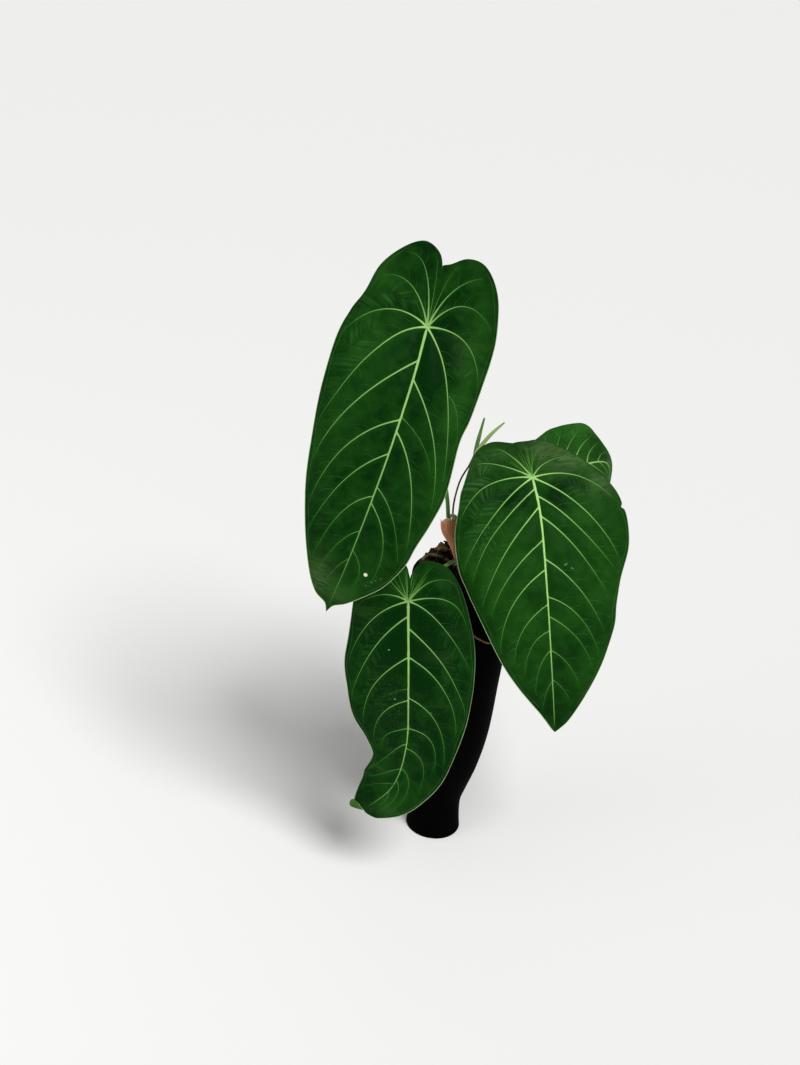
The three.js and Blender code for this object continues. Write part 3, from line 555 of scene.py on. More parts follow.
class Relief:
    """The low relief of half a blade, worked out on a grid and read smoothly between its points.
    Each point holds the height in millimetres, how near it is to a vein, from 0 to 1, and where it
    lies in the ribs that leave the vein: the place along it and the share of the way across."""
    STEP = 2  # between the grid's points
    INWARD = 16  # how far the grid runs past the midrib
    REACH = 120  # how far it runs outward from there
    SAMPLES = 14  # points of veins looked at for the two nearest veins
    TRUE_RUN = 4  # how far along a vein its nearest point may be and still give the true distance
    NO_NEIGHBOUR = 20  # distance of the next vein where none is near
    VEIN_FOOT = 1.1  # half-width of the flat line along a vein, where the swelling starts
    FULL_GAP = 26  # between two veins whose swelling has its full height
    EDGE_RUN = 12  # over which the relief fades out at the margin
    RIB_SPACING = 7.5
    RIB_SLANT = 0.7
    GLOW_REACH = 2.6

    def __init__(self, blade, side):
        self.sign = 1 if side else -1
        self.settings = blade.settings
        self.seed = blade.leaf["half_width"] + 7 * side
        self.samples = []
        self.add_line([Vector((0, y)) for y in range(0, int(blade.length), 4)], -1)
        for index, vein in enumerate(blade.veins[side]):
            steps = int(vein.reach / 4) + 2
            self.add_line([vein.at(step / steps) for step in range(steps + 1)], index)
        self.lines = self.tree([sample[0] for sample in self.samples])
        margin = blade.margins[side]
        count = int(margin.length / 3)
        self.margin = self.tree([margin.at(margin.length * i / count) for i in range(count + 1)])
        self.margin_spacing = margin.length / count
        self.first = blade.first
        rows = math.ceil((blade.length + 14 - self.first) / self.STEP)
        columns = self.REACH // self.STEP
        self.rows = [[self.value((i * self.STEP - self.INWARD) * self.sign, j * self.STEP + self.first)
                      for i in range(columns + 1)] for j in range(rows + 1)]

    @staticmethod
    def tree(points):
        made = kdtree.KDTree(len(points))
        for i, point in enumerate(points):
            made.insert((point.x, point.y, 0), i)
        made.balance()
        return made

    def add_line(self, points, index):
        distance = 0.0
        for i, point in enumerate(points):
            ahead = points[min(i + 1, len(points) - 1)]
            behind = points[max(i - 1, 0)]
            self.samples.append((point, (ahead - behind).normalized(), index, distance))
            distance += (ahead - point).length

    def nearest(self, x, y):
        """Distances to the two nearest veins, and the distance along the nearer one."""
        here = Vector((x, y))
        found = {}
        for _, i, gap in self.lines.find_n((x, y, 0), self.SAMPLES):
            point, heading, index, distance = self.samples[i]
            if index in found:
                continue
            offset = here - point
            past = offset.dot(heading)
            if abs(past) < self.TRUE_RUN:
                gap = (offset - heading * past).length
            found[index] = (gap, distance + past)
            if len(found) == 2:
                break
        (near, distance), *others = found.values()
        far = max(others[0][0], near) if others else near + self.NO_NEIGHBOUR
        return near, far, distance

    def value(self, x, y):
        near, far, distance = self.nearest(x, y)
        gap = near + far
        share = 2 * max(near - self.VEIN_FOOT, 0) / max(gap - 2 * self.VEIN_FOOT, 1)
        inside = smooth(self.margin.find((x, y, 0))[2] / self.EDGE_RUN)
        high = self.settings.quilt_height / MM * min(gap / self.FULL_GAP, 1)
        pillow = high * (1 - (1 - share) ** 2)
        spot = Vector((x * 0.08, y * 0.08, self.seed))
        fine = noise.noise(spot) + 0.6 * noise.noise(spot * 2.7)
        shaken = distance + 2.5 * noise.noise(spot * 1.6)
        crossing = math.sin(2 * math.pi * shaken / self.RIB_SPACING) * 4 * share * (1 - share)
        zone = 0.5 + 0.5 * noise.noise(spot * 0.6)
        pucker = self.settings.pucker / MM * (fine + crossing * zone) * min(share * 2, 1)
        glow = min(math.exp(-(near / self.GLOW_REACH) ** 2), 1)
        return (pillow + pucker) * inside, glow, distance - self.RIB_SLANT * near, share

    def at(self, x, y, parts=(0,)):
        across = min(max((x * self.sign + self.INWARD) / self.STEP, 0), len(self.rows[0]) - 1.001)
        along = min(max((y - self.first) / self.STEP, 0), len(self.rows) - 1.001)
        i, j = int(across), int(along)
        u, v = across - i, along - j
        low, high = self.rows[j], self.rows[j + 1]
        weights = ((1 - u) * (1 - v), u * (1 - v), (1 - u) * v, u * v)
        corners = (low[i], low[i + 1], high[i], high[i + 1])
        return [sum(w * corner[part] for w, corner in zip(weights, corners)) for part in parts]


def add_grid(bm, columns, rows, place):
    """Adds a grid of faces and moves each corner to place(u, v), with u and v from 0 to 1."""
    made = bmesh.ops.create_grid(bm, x_segments=columns, y_segments=rows, size=0.5)["verts"]
    shares = [(vert, vert.co.x + 0.5, vert.co.y + 0.5) for vert in made]
    for vert, u, v in shares:
        vert.co = place(vert, u, v)
    return made


def add_tube(bm, frames, sides, section, mark=None):
    """Adds a closed tube through frames of (centre, side, up), in metres. section(share, turn)
    gives its offsets to the side and up, and mark(vert, share, turn) sets attributes."""
    last = len(frames) - 1

    def place(vert, u, v):
        centre, side, up = frames[round(u * last)]
        turn = 2 * math.pi * v
        sideways, upward = section(u, turn)
        if mark:
            mark(vert, u, turn)
        return centre + side * sideways + up * upward

    made = add_grid(bm, last, sides, place)
    bmesh.ops.remove_doubles(bm, verts=made, dist=1e-7)


def round_section(radius, turn):
    return radius * math.cos(turn), radius * math.sin(turn)


def path_frames(path, stations):
    """Frames without twist at distances along a path in millimetres, placed in metres."""
    up = Vector((0.13, -0.9, 0.4))
    frames = []
    for distance in stations:
        heading = path.heading(distance)
        up = (up - heading * up.dot(heading)).normalized()
        frames.append((path.at(distance) * MM, heading.cross(up), up))
    return frames


def stations_along(total, step, cap):
    """Distances along a tube, closer together where its ends are rounded off."""
    ends = [0, 0.06 * cap, 0.25 * cap, 0.55 * cap, cap]
    middle = max(int((total - 2 * cap) / step), 1)
    inner = [cap + (total - 2 * cap) * i / middle for i in range(1, middle)]
    return ends + inner + [total - d for d in reversed(ends)]


def rounding(distance, total, cap):
    """The share of its radius that a tube has near a rounded end."""
    near = min(distance, total - distance) / cap
    return math.sqrt(max(1 - (1 - near) ** 2, 0)) if near < 1 else 1.0


def placed(name, data):
    """Adds an object to the scene."""
    made = bpy.data.objects.new(name, data)
    bpy.context.scene.collection.objects.link(made)
    return made


def mesh_of(bm, name):
    mesh = bpy.data.meshes.new(name)
    bm.to_mesh(mesh)
    bm.free()
    return mesh


def finish(bm, name, materials, slot, node=None, closed=True):
    """Makes a finished piece that rides on the plant."""
    if closed:
        bmesh.ops.recalc_face_normals(bm, faces=bm.faces)
    mesh = mesh_of(bm, name)
    mesh.shade_smooth()
    for material in materials:
        mesh.materials.append(material)
    piece = placed(name, mesh)
    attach(piece, BODY)
    if node:
        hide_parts(node)
    return piece


def thicken(piece, thickness):
    """Gives a sheet its thickness, half of it on each side."""
    shell = piece.modifiers.new("thickness", "SOLIDIFY")
    shell.thickness = thickness
    shell.offset = 0
    return shell


def stalk_layer(bm):
    """The attribute that keeps a place on a stalk, as two parts round it and one along it."""
    return bm.verts.layers.float_vector.new("stalk_place")


def stalk_piece(name, node, slot, material, path, step, sides, radius):
    """Makes a round stalk; radius(distance, turn) is in millimetres."""
    bm = bmesh.new()
    layer = stalk_layer(bm)
    total = path.length
    cap = radius(total / 2, 0)
    stations = stations_along(total, step, cap)
    last = len(stations) - 1

    def section(u, turn):
        distance = stations[round(u * last)]
        return round_section(radius(distance, turn) * rounding(distance, total, cap) * MM, turn)

    def mark(vert, u, turn):
        distance = stations[round(u * last)]
        vert[layer] = Vector((math.cos(turn), math.sin(turn), distance / 10))

    add_tube(bm, path_frames(path, stations), sides, section, mark)
    finish(bm, name, [material], slot, node)


class NodeMaker:
    """Adds nodes to a tree. What goes into a node is a socket or a plain value."""

    def __init__(self, tree):
        self.nodes = tree.nodes
        self.links = tree.links

    def add(self, kind, inputs=None, **settings):
        node = self.nodes.new(kind)
        for key, value in settings.items():
            setattr(node, key, value)
        for key, value in (inputs or {}).items():
            if isinstance(value, bpy.types.NodeSocket):
                self.links.new(value, node.inputs[key])
            else:
                node.inputs[key].default_value = value
        return node

    def noise(self, place, scale, detail=3.0, roughness=0.55, distortion=0.0):
        inputs = {"Vector": place, "Scale": scale, "Detail": detail, "Roughness": roughness,
                  "Distortion": distortion}
        return self.add("ShaderNodeTexNoise", inputs).outputs["Fac"]

    def stretch(self, place, factors):
        return self.add("ShaderNodeMapping", {"Vector": place, "Scale": factors}).outputs[0]

    def math(self, operation, *values):
        return self.add("ShaderNodeMath", dict(enumerate(values)), operation=operation).outputs[0]

    def times(self, a, b):
        return self.math("MULTIPLY", a, b)


class Look(NodeMaker):
    """A material being built: its nodes and the Principled shader that ends them."""

    def __init__(self, name, **constants):
        self.material = bpy.data.materials.new(name)
        self.material.use_nodes = True
        super().__init__(self.material.node_tree)
        self.shader = self.nodes["Principled BSDF"]
        for socket, value in constants.items():
            self.shader.inputs[socket.replace("_", " ")].default_value = value

    def object_place(self):
        return self.add("ShaderNodeTexCoord").outputs["Object"]

    def attribute(self, name, output="Vector"):
        return self.add("ShaderNodeAttribute", attribute_name=name).outputs[output]

    def mark(self, name):
        return self.attribute(name, "Fac")

    def fit(self, value, low, high, start=0.0, end=1.0):
        inputs = {"Value": value, "From Min": low, "From Max": high, "To Min": start, "To Max": end}
        return self.add("ShaderNodeMapRange", inputs).outputs[0]

    def blend(self, factor, a, b):
        return self.add("ShaderNodeMix", {0: factor, 6: a, 7: b}, data_type="RGBA").outputs[2]

    def effect(self, group, place, scale):
        inputs = {"Place": place, "Scale": scale}
        return self.add("ShaderNodeGroup", inputs, node_tree=group).outputs[0]

    def mottle(self, place, scale):
        return self.effect(mottle_group(), place, scale)

    def net(self, place, scale, width):
        """The fine net between the cells of a leaf, from 0 to 1."""
        cells = self.add("ShaderNodeTexVoronoi", {"Vector": place, "Scale": scale},
                         feature="DISTANCE_TO_EDGE").outputs["Distance"]
        return self.fit(cells, 0.0, width, 1.0, 0.0)

    def bump(self, height, depth, strength=1.0, under=None):
        inputs = {"Height": height, "Distance": depth, "Strength": strength}
        if under:
            inputs["Normal"] = under
        return self.add("ShaderNodeBump", inputs).outputs[0]

    def set(self, **sockets):
        for socket, value in sockets.items():
            self.links.new(value, self.shader.inputs[socket.replace("_", " ")])
        return self.material


def effect_group(name, build):
    """A shader node group that makes one value from a place and a scale, built once."""
    group = bpy.data.node_groups.get(name)
    if group:
        return group
    group = bpy.data.node_groups.new(name, "ShaderNodeTree")
    group.interface.new_socket("Place", in_out="INPUT", socket_type="NodeSocketVector")
    group.interface.new_socket("Scale", in_out="INPUT", socket_type="NodeSocketFloat")
    group.interface.new_socket("Value", in_out="OUTPUT", socket_type="NodeSocketFloat")
    maker = NodeMaker(group)
    given = maker.add("NodeGroupInput").outputs
    maker.add("NodeGroupOutput", {0: build(maker, given["Place"], given["Scale"])})
    return group


def mottle_group():
    """Soft patches with finer ones inside them, at a scale in patches a metre."""
    def build(maker, place, scale):
        total = 0.0
        for factor, weight in ((1.0, 0.6), (3.7, 0.28), (11.0, 0.12)):
            patch = maker.noise(place, maker.times(scale, factor), 2.0, 0.5)
            total = maker.math("MULTIPLY_ADD", patch, weight, total)
        return total

    return effect_group("mottle", build)


def fibre_group():
    """Fine lengthwise fibres: noise drawn out along the third axis of the place given."""
    def build(maker, place, scale):
        return maker.noise(maker.stretch(place, (1, 1, 0.06)), scale, 5.0, 0.5)

    return effect_group("fibres", build)


def fan_streaks(look, place):
    """Pale streaks that fan out from the junction, from 0 to 1."""
    split = look.add("ShaderNodeSeparateXYZ", {"Vector": place}).outputs
    turn = look.math("ARCTAN2", split["Y"], split["X"])
    around = look.add("ShaderNodeCombineXYZ", {"X": turn, "Z": split["Z"]}).outputs[0]
    rays = look.fit(look.noise(around, 9.0, 2.0), 0.5, 0.62)
    flat = look.add("ShaderNodeCombineXYZ", {"X": split["X"], "Y": split["Y"]}).outputs[0]
    away = look.add("ShaderNodeVectorMath", {0: flat, 1: (0, -0.005, 0)}, operation="DISTANCE")
    near = look.fit(away.outputs["Value"], 0.004, 0.03, 1.0, 0.0)
    return look.times(look.times(near, rays), look.mark("fan"))


def spot_mask(look, place, centre, reach):
    """A small round mark on a blade, with a crisp edge."""
    away = look.add("ShaderNodeVectorMath", {0: place, 1: centre}, operation="DISTANCE")
    return look.fit(away.outputs["Value"], reach * 0.8 * MM, reach * 1.1 * MM, 1.0, 0.0)


def upper_leaf_look(colours):
    """Dark velvet green in soft patches, partly painted shade and light, with painted sheen, painted
    highlights on the ribs, fine dust and a few pale specks.
    """
    look = Look("velvet_leaf", Specular_IOR_Level=0.03)
    place = look.attribute("leaf_place")
    patches = look.mottle(place, 20.0)
    age = look.mark("age")
    # Each blade's tone of age, with painted shade and painted light added from its shade patches.
    age_and_painted_shade = look.math("ADD", age, look.mark("shade"))
    blotches = look.fit(look.noise(place, 75.0, 3.0, 0.6, 0.6), 0.35, 0.65, -0.1, 0.1)
    mottled = look.math("ADD", look.fit(patches, 0.34, 0.66, -0.17, 0.17), blotches)
    shade = look.math("ADD", mottled, age_and_painted_shade)
    base = look.blend(shade, colours.dark, colours.light)
    fresh = look.blend(look.fit(age, 0.6, 1.0, 0.0, 0.8), base, tone("33651b"))
    net = look.net(place, 230.0, 0.12)
    net_seen = look.times(net, look.fit(patches, 0.4, 0.7, 0.02, 0.12))
    netted = look.blend(net_seen, fresh, tone("245a1b"))
    glow = look.mark("near_vein")
    lit = look.blend(look.times(glow, 0.08), netted, tone("2e7a20"))
    # The ribs' pattern makes fine puckers by bump and also paints highlights on them in a lighter green.
    ribs = look.noise(look.stretch(look.attribute("rib_place"), (2.3, 0.4, 1)), 1.0, 2.0, 0.4, 0.2)
    rib_bump_and_highlight = look.times(look.fit(ribs, 0.46, 0.64), look.mark("ribbing_and_highlight"))
    rib_highlighted = look.blend(look.times(rib_bump_and_highlight, 0.44), lit, tone("4a8442"))
    fanned = look.blend(look.times(fan_streaks(look, place), 0.8), rib_highlighted, tone("6fae4a"))
    # Painted sheen: grey green streaks laid into the colour where the sheen patches lie, standing in for
    # a satin reflection.
    sheen_streaks = look.noise(look.stretch(place, (0.35, 2.2, 1)), 210.0, 5.0, 0.6, 0.4)
    painted_sheen_mask = look.times(look.fit(sheen_streaks, 0.36, 0.62, 0.2, 1.0), look.mark("painted_sheen"))
    with_painted_sheen = look.blend(look.times(painted_sheen_mask, 0.42), fanned, tone("5f7d4a"))
    scratches = look.noise(look.stretch(place, (1, 1.6, 1)), 420.0, 6.0, 0.7, 1.2)
    dusty = look.times(look.fit(scratches, 0.56, 0.7), look.mark("dust"))
    marked = look.blend(look.times(dusty, 0.45), with_painted_sheen, tone("71896a"))
    grains = look.add("ShaderNodeTexVoronoi", {"Vector": place, "Scale": 62.0}).outputs
    chosen = look.add("ShaderNodeSeparateColor", {"Color": grains["Color"]}).outputs[0]
    speck = look.times(look.fit(grains["Distance"], 0.02, 0.04, 1.0, 0.0),
                       look.fit(chosen, 0.8, 0.81))
    toned = look.blend(look.times(speck, 0.4), marked, tone("6f9060"))
    for centre, reach, strength, code in LEAF_SPOTS:
        mask = look.times(spot_mask(look, place, Vector(centre) * MM, reach), strength)
        toned = look.blend(mask, toned, tone(code))
    grain = look.noise(place, 1900.0, 2.0)
    puckered = look.bump(rib_bump_and_highlight, 0.0006, 0.7, look.bump(grain, 0.00005, 0.4))
    veined = look.bump(net, 0.0001, 0.4, puckered)
    rough = look.fit(patches, 0.3, 0.7, 0.42, 0.6)
    return look.set(Base_Color=toned, Roughness=rough, Normal=veined)


def under_leaf_look(colours):
    look = Look("leaf_underside", Roughness=0.6, Specular_IOR_Level=0.1)
    place = look.attribute("leaf_place")
    patches = look.mottle(place, 40.0)
    net = look.net(place, 210.0, 0.14)
    base = look.blend(look.fit(patches, 0.3, 0.7), colours.under, tone("2c4f1a"))
    netted = look.blend(look.times(net, 0.3), base, tone("5c8a3a"))
    return look.set(Base_Color=netted, Normal=look.bump(net, 0.0002, 0.6))


def vein_look(colours):
    """Pale green that sinks into the green of the blade as a vein gets weaker."""
    look = Look("leaf_veins", Roughness=0.5, Specular_IOR_Level=0.14)
    strength = look.mark("strength")
    middle = look.blend(look.fit(strength, 0.0, 0.45), tone("0e3c0c"), tone("5a9440"))
    pale = look.blend(look.fit(strength, 0.4, 0.95), middle, colours.vein)
    place = look.object_place()
    uneven = look.mottle(place, 120.0)
    toned = look.blend(look.fit(uneven, 0.3, 0.7, 0.0, 0.25), pale, tone("5a8a45"))
    faded = look.blend(look.mark("tinge"), tone("14460f"), toned)
    return look.set(Base_Color=faded, Normal=look.bump(uneven, 0.0001, 0.5))


def margin_look(colours):
    """Pale where the edge faces down and shows its thickness, green where it faces up."""
    look = Look("leaf_margin", Roughness=0.55, Specular_IOR_Level=0.1)
    uneven = look.mottle(look.object_place(), 90.0)
    pale = look.blend(look.fit(uneven, 0.35, 0.65, 0.0, 0.5), colours.margin, tone("5d8048"))
    return look.set(Base_Color=look.blend(look.mark("lit"), tone("123a0e"), pale))


def stalk_look(name, main, flecks, scale=4.0, rough=0.45, depth=0.0001, spread=0.6):
    """A stalk's skin: lengthwise fibres and soft patches."""
    look = Look(name, Roughness=rough, Specular_IOR_Level=0.4)
    place = look.attribute("stalk_place")
    fibres = look.effect(fibre_group(), place, scale)
    patches = look.mottle(look.object_place(), 55.0)
    mixed = look.times(look.fit(fibres, 0.42, 0.68), look.fit(patches, 0.35, 0.6))
    toned = look.blend(look.times(mixed, spread), main, flecks)
    return look.set(Base_Color=toned, Normal=look.bump(fibres, depth, 0.6))


def sheath_look(name, main, pale, dark):
    """A papery sheath: long fibres, thin pale skin between them and a bleached torn edge."""
    look = Look(name, Roughness=0.7, Specular_IOR_Level=0.25)
    place = look.attribute("sheath_place")
    fine = look.noise(look.stretch(place, (9, 0.5, 1)), 3.0, 5.0, 0.6)
    patches = look.mottle(look.object_place(), 90.0)
    body = look.blend(look.fit(fine, 0.35, 0.65), dark, main)
    worn = look.blend(look.fit(patches, 0.45, 0.7, 0.0, 0.7), body, pale)
    torn = look.mark("torn")
    edged = look.blend(torn, worn, tone("cdb9a0"))
    return look.set(Base_Color=edged, Normal=look.bump(fine, 0.0003, 0.7))


def root_look(name, main, dark):
    look = Look(name, Roughness=0.85, Specular_IOR_Level=0.2)
    place = look.object_place()
    patches = look.mottle(place, 140.0)
    toned = look.blend(look.fit(patches, 0.35, 0.62), dark, main)
    fuzz = look.noise(place, 2400.0, 3.0)
    return look.set(Base_Color=toned, Normal=look.bump(fuzz, 0.0003, 0.8))


def bark_look(colours):
    """Bark whose tone is set chip by chip, in thin layers with pale broken faces."""
    look = Look("bark", Roughness=0.9, Specular_IOR_Level=0.2)
    place = look.object_place()
    chip = look.mark("chip_tone")
    patches = look.mottle(place, 130.0)
    layers = look.noise(look.stretch(place, (1, 1, 5)), 260.0, 4.0)
    tint = look.math("ADD", chip, look.fit(patches, 0.3, 0.7, -0.16, 0.16))
    dark = look.blend(look.fit(tint, 0.1, 0.55), colours.bark_dark, colours.bark)
    pale = look.blend(look.fit(tint, 0.6, 0.95), dark, colours.bark_tan)
    grained = look.blend(look.fit(layers, 0.45, 0.7, 0.0, 0.45), pale, tone("120c07"))
    return look.set(Base_Color=grained, Normal=look.bump(layers, 0.0008, 0.9))


def moss_look(colours):
    look = Look("moss", Roughness=0.8, Specular_IOR_Level=0.2)
    patches = look.mottle(look.object_place(), 200.0)
    toned = look.blend(look.fit(patches, 0.35, 0.65), colours.moss, tone("8f9a55"))
    return look.set(Base_Color=toned)


def pot_look(colours):
    """Unglazed near-black ceramic: fine specks, faint turning rings, rubbed a little by use."""
    look = Look("planter_black", Specular_IOR_Level=0.01)
    place = look.object_place()
    specks = look.fit(look.noise(place, 2600.0, 2.0), 0.62, 0.72)
    patches = look.mottle(place, 22.0)
    toned = look.blend(look.times(specks, 0.6), colours.body, colours.speck)
    rubbed = look.blend(look.fit(patches, 0.5, 0.75, 0.0, 0.35), toned, colours.speck)
    rings = look.noise(look.stretch(place, (0.02, 0.02, 1)), 900.0, 3.0)
    rough = look.fit(patches, 0.3, 0.7, 0.62, 0.8)
    turned = look.bump(rings, 0.00012, 0.35)
    return look.set(Base_Color=rubbed, Roughness=rough,
                    Normal=look.bump(specks, 0.00005, 0.4, turned))


def settings_of(context):
    return context.scene.anthurium


class ANTHURIUM_OT_blades(Operator):
    """Add the four velvet blades with their margins"""
    bl_idname = "anthurium.blades"
    bl_label = "Blades"

    def execute(self, context):
        settings = settings_of(context).leaf
        upper = upper_leaf_look(settings)
        under = under_leaf_look(settings)
        edge = margin_look(settings)
        for name in LEAVES:
            blade = Blade(name, settings)
            piece = self.blade_piece(name, blade, (upper, under))
            shell = thicken(piece, settings.thickness)
            shell.material_offset = 1
            shell.use_quality_normals = True
            self.margin_piece(name, blade, edge)
        return {"FINISHED"}

    def blade_piece(self, name, blade, materials):
        settings = blade.settings
        leaf = blade.leaf
        bm = bmesh.new()
        spot = bm.verts.layers.float_vector.new("leaf_place")
        rib_spot = bm.verts.layers.float_vector.new("rib_place")
        glow, dust, age, shade, painted_sheen, fan, ribbing_and_highlight = [
            bm.verts.layers.float.new(key)
            for key in ("near_vein", "dust", "age", "shade", "painted_sheen", "fan", "ribbing_and_highlight")]
        for side, margin in enumerate(blade.margins):
            def place(vert, u, v):
                end = margin.at(u * margin.length)
                start = blade.spoke_start(u)
                x = end.x * v
                y = start + (end.y - start) * v
                vert[spot] = blade.texture_place(x, y, side)
                # Painted shade and light from the shade patches, painted sheen, and the ribs' bump with
                # painted highlights.
                vert[shade] = blade.patch("shade", x, y)
                vert[painted_sheen] = blade.patch("painted_sheen", x, y)
                vert[fan] = leaf["fan"] * smooth((2 - y - 0.9 * abs(x)) / 8)
                vert[glow], along, share = blade.reliefs[side].at(x, y, (1, 2, 3))
                vert[rib_spot] = Vector((along / 10, share, 3 * side + 7 * blade.order))
                window = 4 * share * (1 - share)
                vert[ribbing_and_highlight] = min(blade.patch("ribbing_and_highlight", x, y), 1) * max(window, 0) ** 0.6
                vert[dust] = min(blade.patch("dust", x, y), 1)
                vert[age] = leaf["age"]
                return blade.place(x, y, side)

            made = add_grid(bm, settings.spokes, settings.rings, place)
            faces = {face for vert in made for face in vert.link_faces}
            if side == 0:
                bmesh.ops.reverse_faces(bm, faces=list(faces))
        if "flap" in leaf:
            self.flap(bm, blade, spot)
        bmesh.ops.remove_doubles(bm, verts=bm.verts, dist=2e-6)
        bmesh.ops.dissolve_degenerate(bm, edges=bm.edges, dist=1e-6)
        return finish(bm, name.replace("leaf", "blade"), materials, "leaf_velvet", name, closed=False)

    def flap(self, bm, blade, spot):
        """The tip that has folded over and shows its underside."""
        edge = SmoothPath(blade.leaf["flap"])
        ends = edge.places[0], edge.places[-1]

        def place(vert, u, v):
            fold = ends[0].lerp(ends[1], u)
            here = fold.lerp(edge.at(u * edge.length), v)
            vert[spot] = blade.texture_place(10 * u, 290 + 8 * v, 0)
            return (here + Vector((0, -1.6, 0)) * math.sin(math.pi * u) * math.sin(2.4 * v)) * MM

        add_grid(bm, 24, 12, place)

    def margin_piece(self, name, blade, material):
        bm = bmesh.new()
        lit = bm.verts.layers.float.new("lit")
        radius = blade.settings.margin_radius
        for side, margin in enumerate(blade.margins):
            count = int(margin.length / MARGIN_STEP)
            points = [margin.at(margin.length * i / count) for i in range(count + 1)]
            frames = blade.strip(points, side)
            sign = 1 if side else -1

            def section(u, turn):
                return round_section(radius * min(1, 40 * u, 60 * (1 - u)), turn)

            def mark(vert, u, turn):
                facing_down = sign * frames[round(u * count)][1].z
                vert[lit] = smooth(0.5 + 0.9 * facing_down) * smooth((u - 0.1) / 0.06)

            add_tube(bm, frames, 6, section, mark)
        finish(bm, name.replace("leaf", "margin"), [material], "leaf_velvet")


class ANTHURIUM_OT_veins(Operator):
    """Add the midribs and the raised side veins on both faces of the blades"""
    bl_idname = "anthurium.veins"
    bl_label = "Veins"

    def execute(self, context):
        settings = settings_of(context).leaf
        pale = vein_look(settings)
        for name in LEAVES:
            blade = Blade(name, settings)
            bm = bmesh.new()
            strength = bm.verts.layers.float.new("strength")
            tinge = bm.verts.layers.float.new("tinge")
            random = seeded(97)
            self.midrib(bm, blade, strength)
            for side, veins in enumerate(blade.veins):
                for vein in veins:
                    self.side_vein(bm, blade, side, vein, strength)
                for near, far in zip(veins, veins[1:]):
                    self.branches(bm, blade, side, near, far, strength, random)
                self.collecting_vein(bm, blade, side, strength)
            for vert in bm.verts:
                vert[tinge] = blade.leaf["vein_tone"]
            finish(bm, name.replace("leaf", "veins"), [pale], "leaf_velvet")
        return {"FINISHED"}

    def strand(self, bm, blade, side, points, width_at, strength_at, layer, sides=8):
        """A raised strand through points of the blade, seen on both of its faces."""
        half = blade.settings.thickness / 2

        def section(u, turn):
            wide = width_at(u) / 2
            high = (half + STRAND_RISE) * min(1, wide / STRAND_FULL) + STRAND_ROUND * wide
            return wide * math.cos(turn), high * math.sin(turn)

        def mark(vert, u, turn):
            vert[layer] = strength_at(u)

        add_tube(bm, blade.strip(points, side), sides, section, mark)

    def midrib(self, bm, blade, layer):
        full = blade.settings.midrib_width
        fade = blade.leaf["fade"]
        count = int(blade.length / VEIN_STEP)
        start = -2.5
        reach = blade.length - 3 - start
        points = [Vector((0, start + reach * i / count)) for i in range(count + 1)]

        def width(u):
            body = full * (1 - 0.74 * u ** 0.85 + 0.3 * math.exp(-u * 40))
            return body * min(1, 30 * u + 0.001, 14 * (1 - u) + 0.001)

        self.strand(bm, blade, 1, points, width, lambda u: 1.0 - fade * u ** 1.6, layer, 12)

    def side_vein(self, bm, blade, side, vein, layer):
        full = blade.settings.vein_width * (0.3 + 0.7 * vein.vigour)
        count = max(int(vein.reach / VEIN_STEP), 8)
        points = [vein.at(i / count) for i in range(count + 1)] + self.tail(blade, side, vein)
        flare = 0.7 if vein.root.length < 1 else 0.25
        stretch = (len(points) - 1) / count

        def width(u):
            along = u * stretch
            body = full * (1 - 0.78 * min(along, 1) + flare * math.exp(-along * vein.reach / 7))
            return body * min(1, 5 * (1 - u) + 0.001)

        def strength(u):
            return vein.vigour * (1 - 0.55 * min(u * stretch, 1)) * min(1, 3.5 * (1 - u))

        self.strand(bm, blade, side, points, width, strength, layer)

    def tail(self, blade, side, vein):
        """Points past a side vein's end, where it turns to run along the margin and fades."""
        margin, relief = blade.margins[side], blade.reliefs[side]
        points = [vein.at(1)]
        heading = (points[0] - vein.at(0.94)).normalized()
        while len(points) * VEIN_STEP < 12 + 18 * vein.vigour:
            here = points[-1]
            _, index, gap = relief.margin.find((here.x, here.y, 0))
            along = margin.heading(index * relief.margin_spacing, 4)
            if along.dot(heading) < 0:
                along = -along
            heading = heading.lerp(along, 0.5 if gap < 6 else 0.22).normalized()
            points.append(here + heading * VEIN_STEP)
            if gap < 2.6 or abs(points[-1].x) < 2:
                break
        return points[1:]

    def branches(self, bm, blade, side, near, far, layer, random):
        """Weak branches of a side vein, which bow towards its neighbour and fade on the way."""
        relief = blade.reliefs[side]
        count = int(far.reach / 15)
        for i in range(1, count):
            share = (i + 0.5 * next(random)) / count
            start, ahead = far.at(share), far.at(share + 0.02)
            heading = (ahead - start).normalized()
            turn = 1 if heading.orthogonal().dot(near.at(share) - start) > 0 else -1
            vigour = blade.leaf["branching"] * (0.35 + 0.65 * next(random)) * min(1, 3 * share)
            bow = 62 + 16 * next(random)
            reach = 14 + 18 * next(random)
            points = [start]
            while len(points) * BRANCH_STEP < reach:
                eased = 1 - 0.95 * len(points) * BRANCH_STEP / reach
                step = Matrix.Rotation(turn * math.radians(bow * eased), 2) @ heading
                here = points[-1] + step * BRANCH_STEP
                clear = len(points) < 3 or relief.nearest(here.x, here.y)[0] > 1.6
                if not clear or relief.margin.find((here.x, here.y, 0))[2] < 2.5:
                    break
                points.append(here)
            if len(points) < 4:
                continue

            def width(u):
                return BRANCH_WIDTH * min(1, 4 * u + 0.5) * (1 - u) ** 0.6 + 1e-6

            def strength(u):
                return BRANCH_STRENGTH * vigour * (1 - u) ** 0.8

            self.strand(bm, blade, side, points, width, strength, layer, 4)

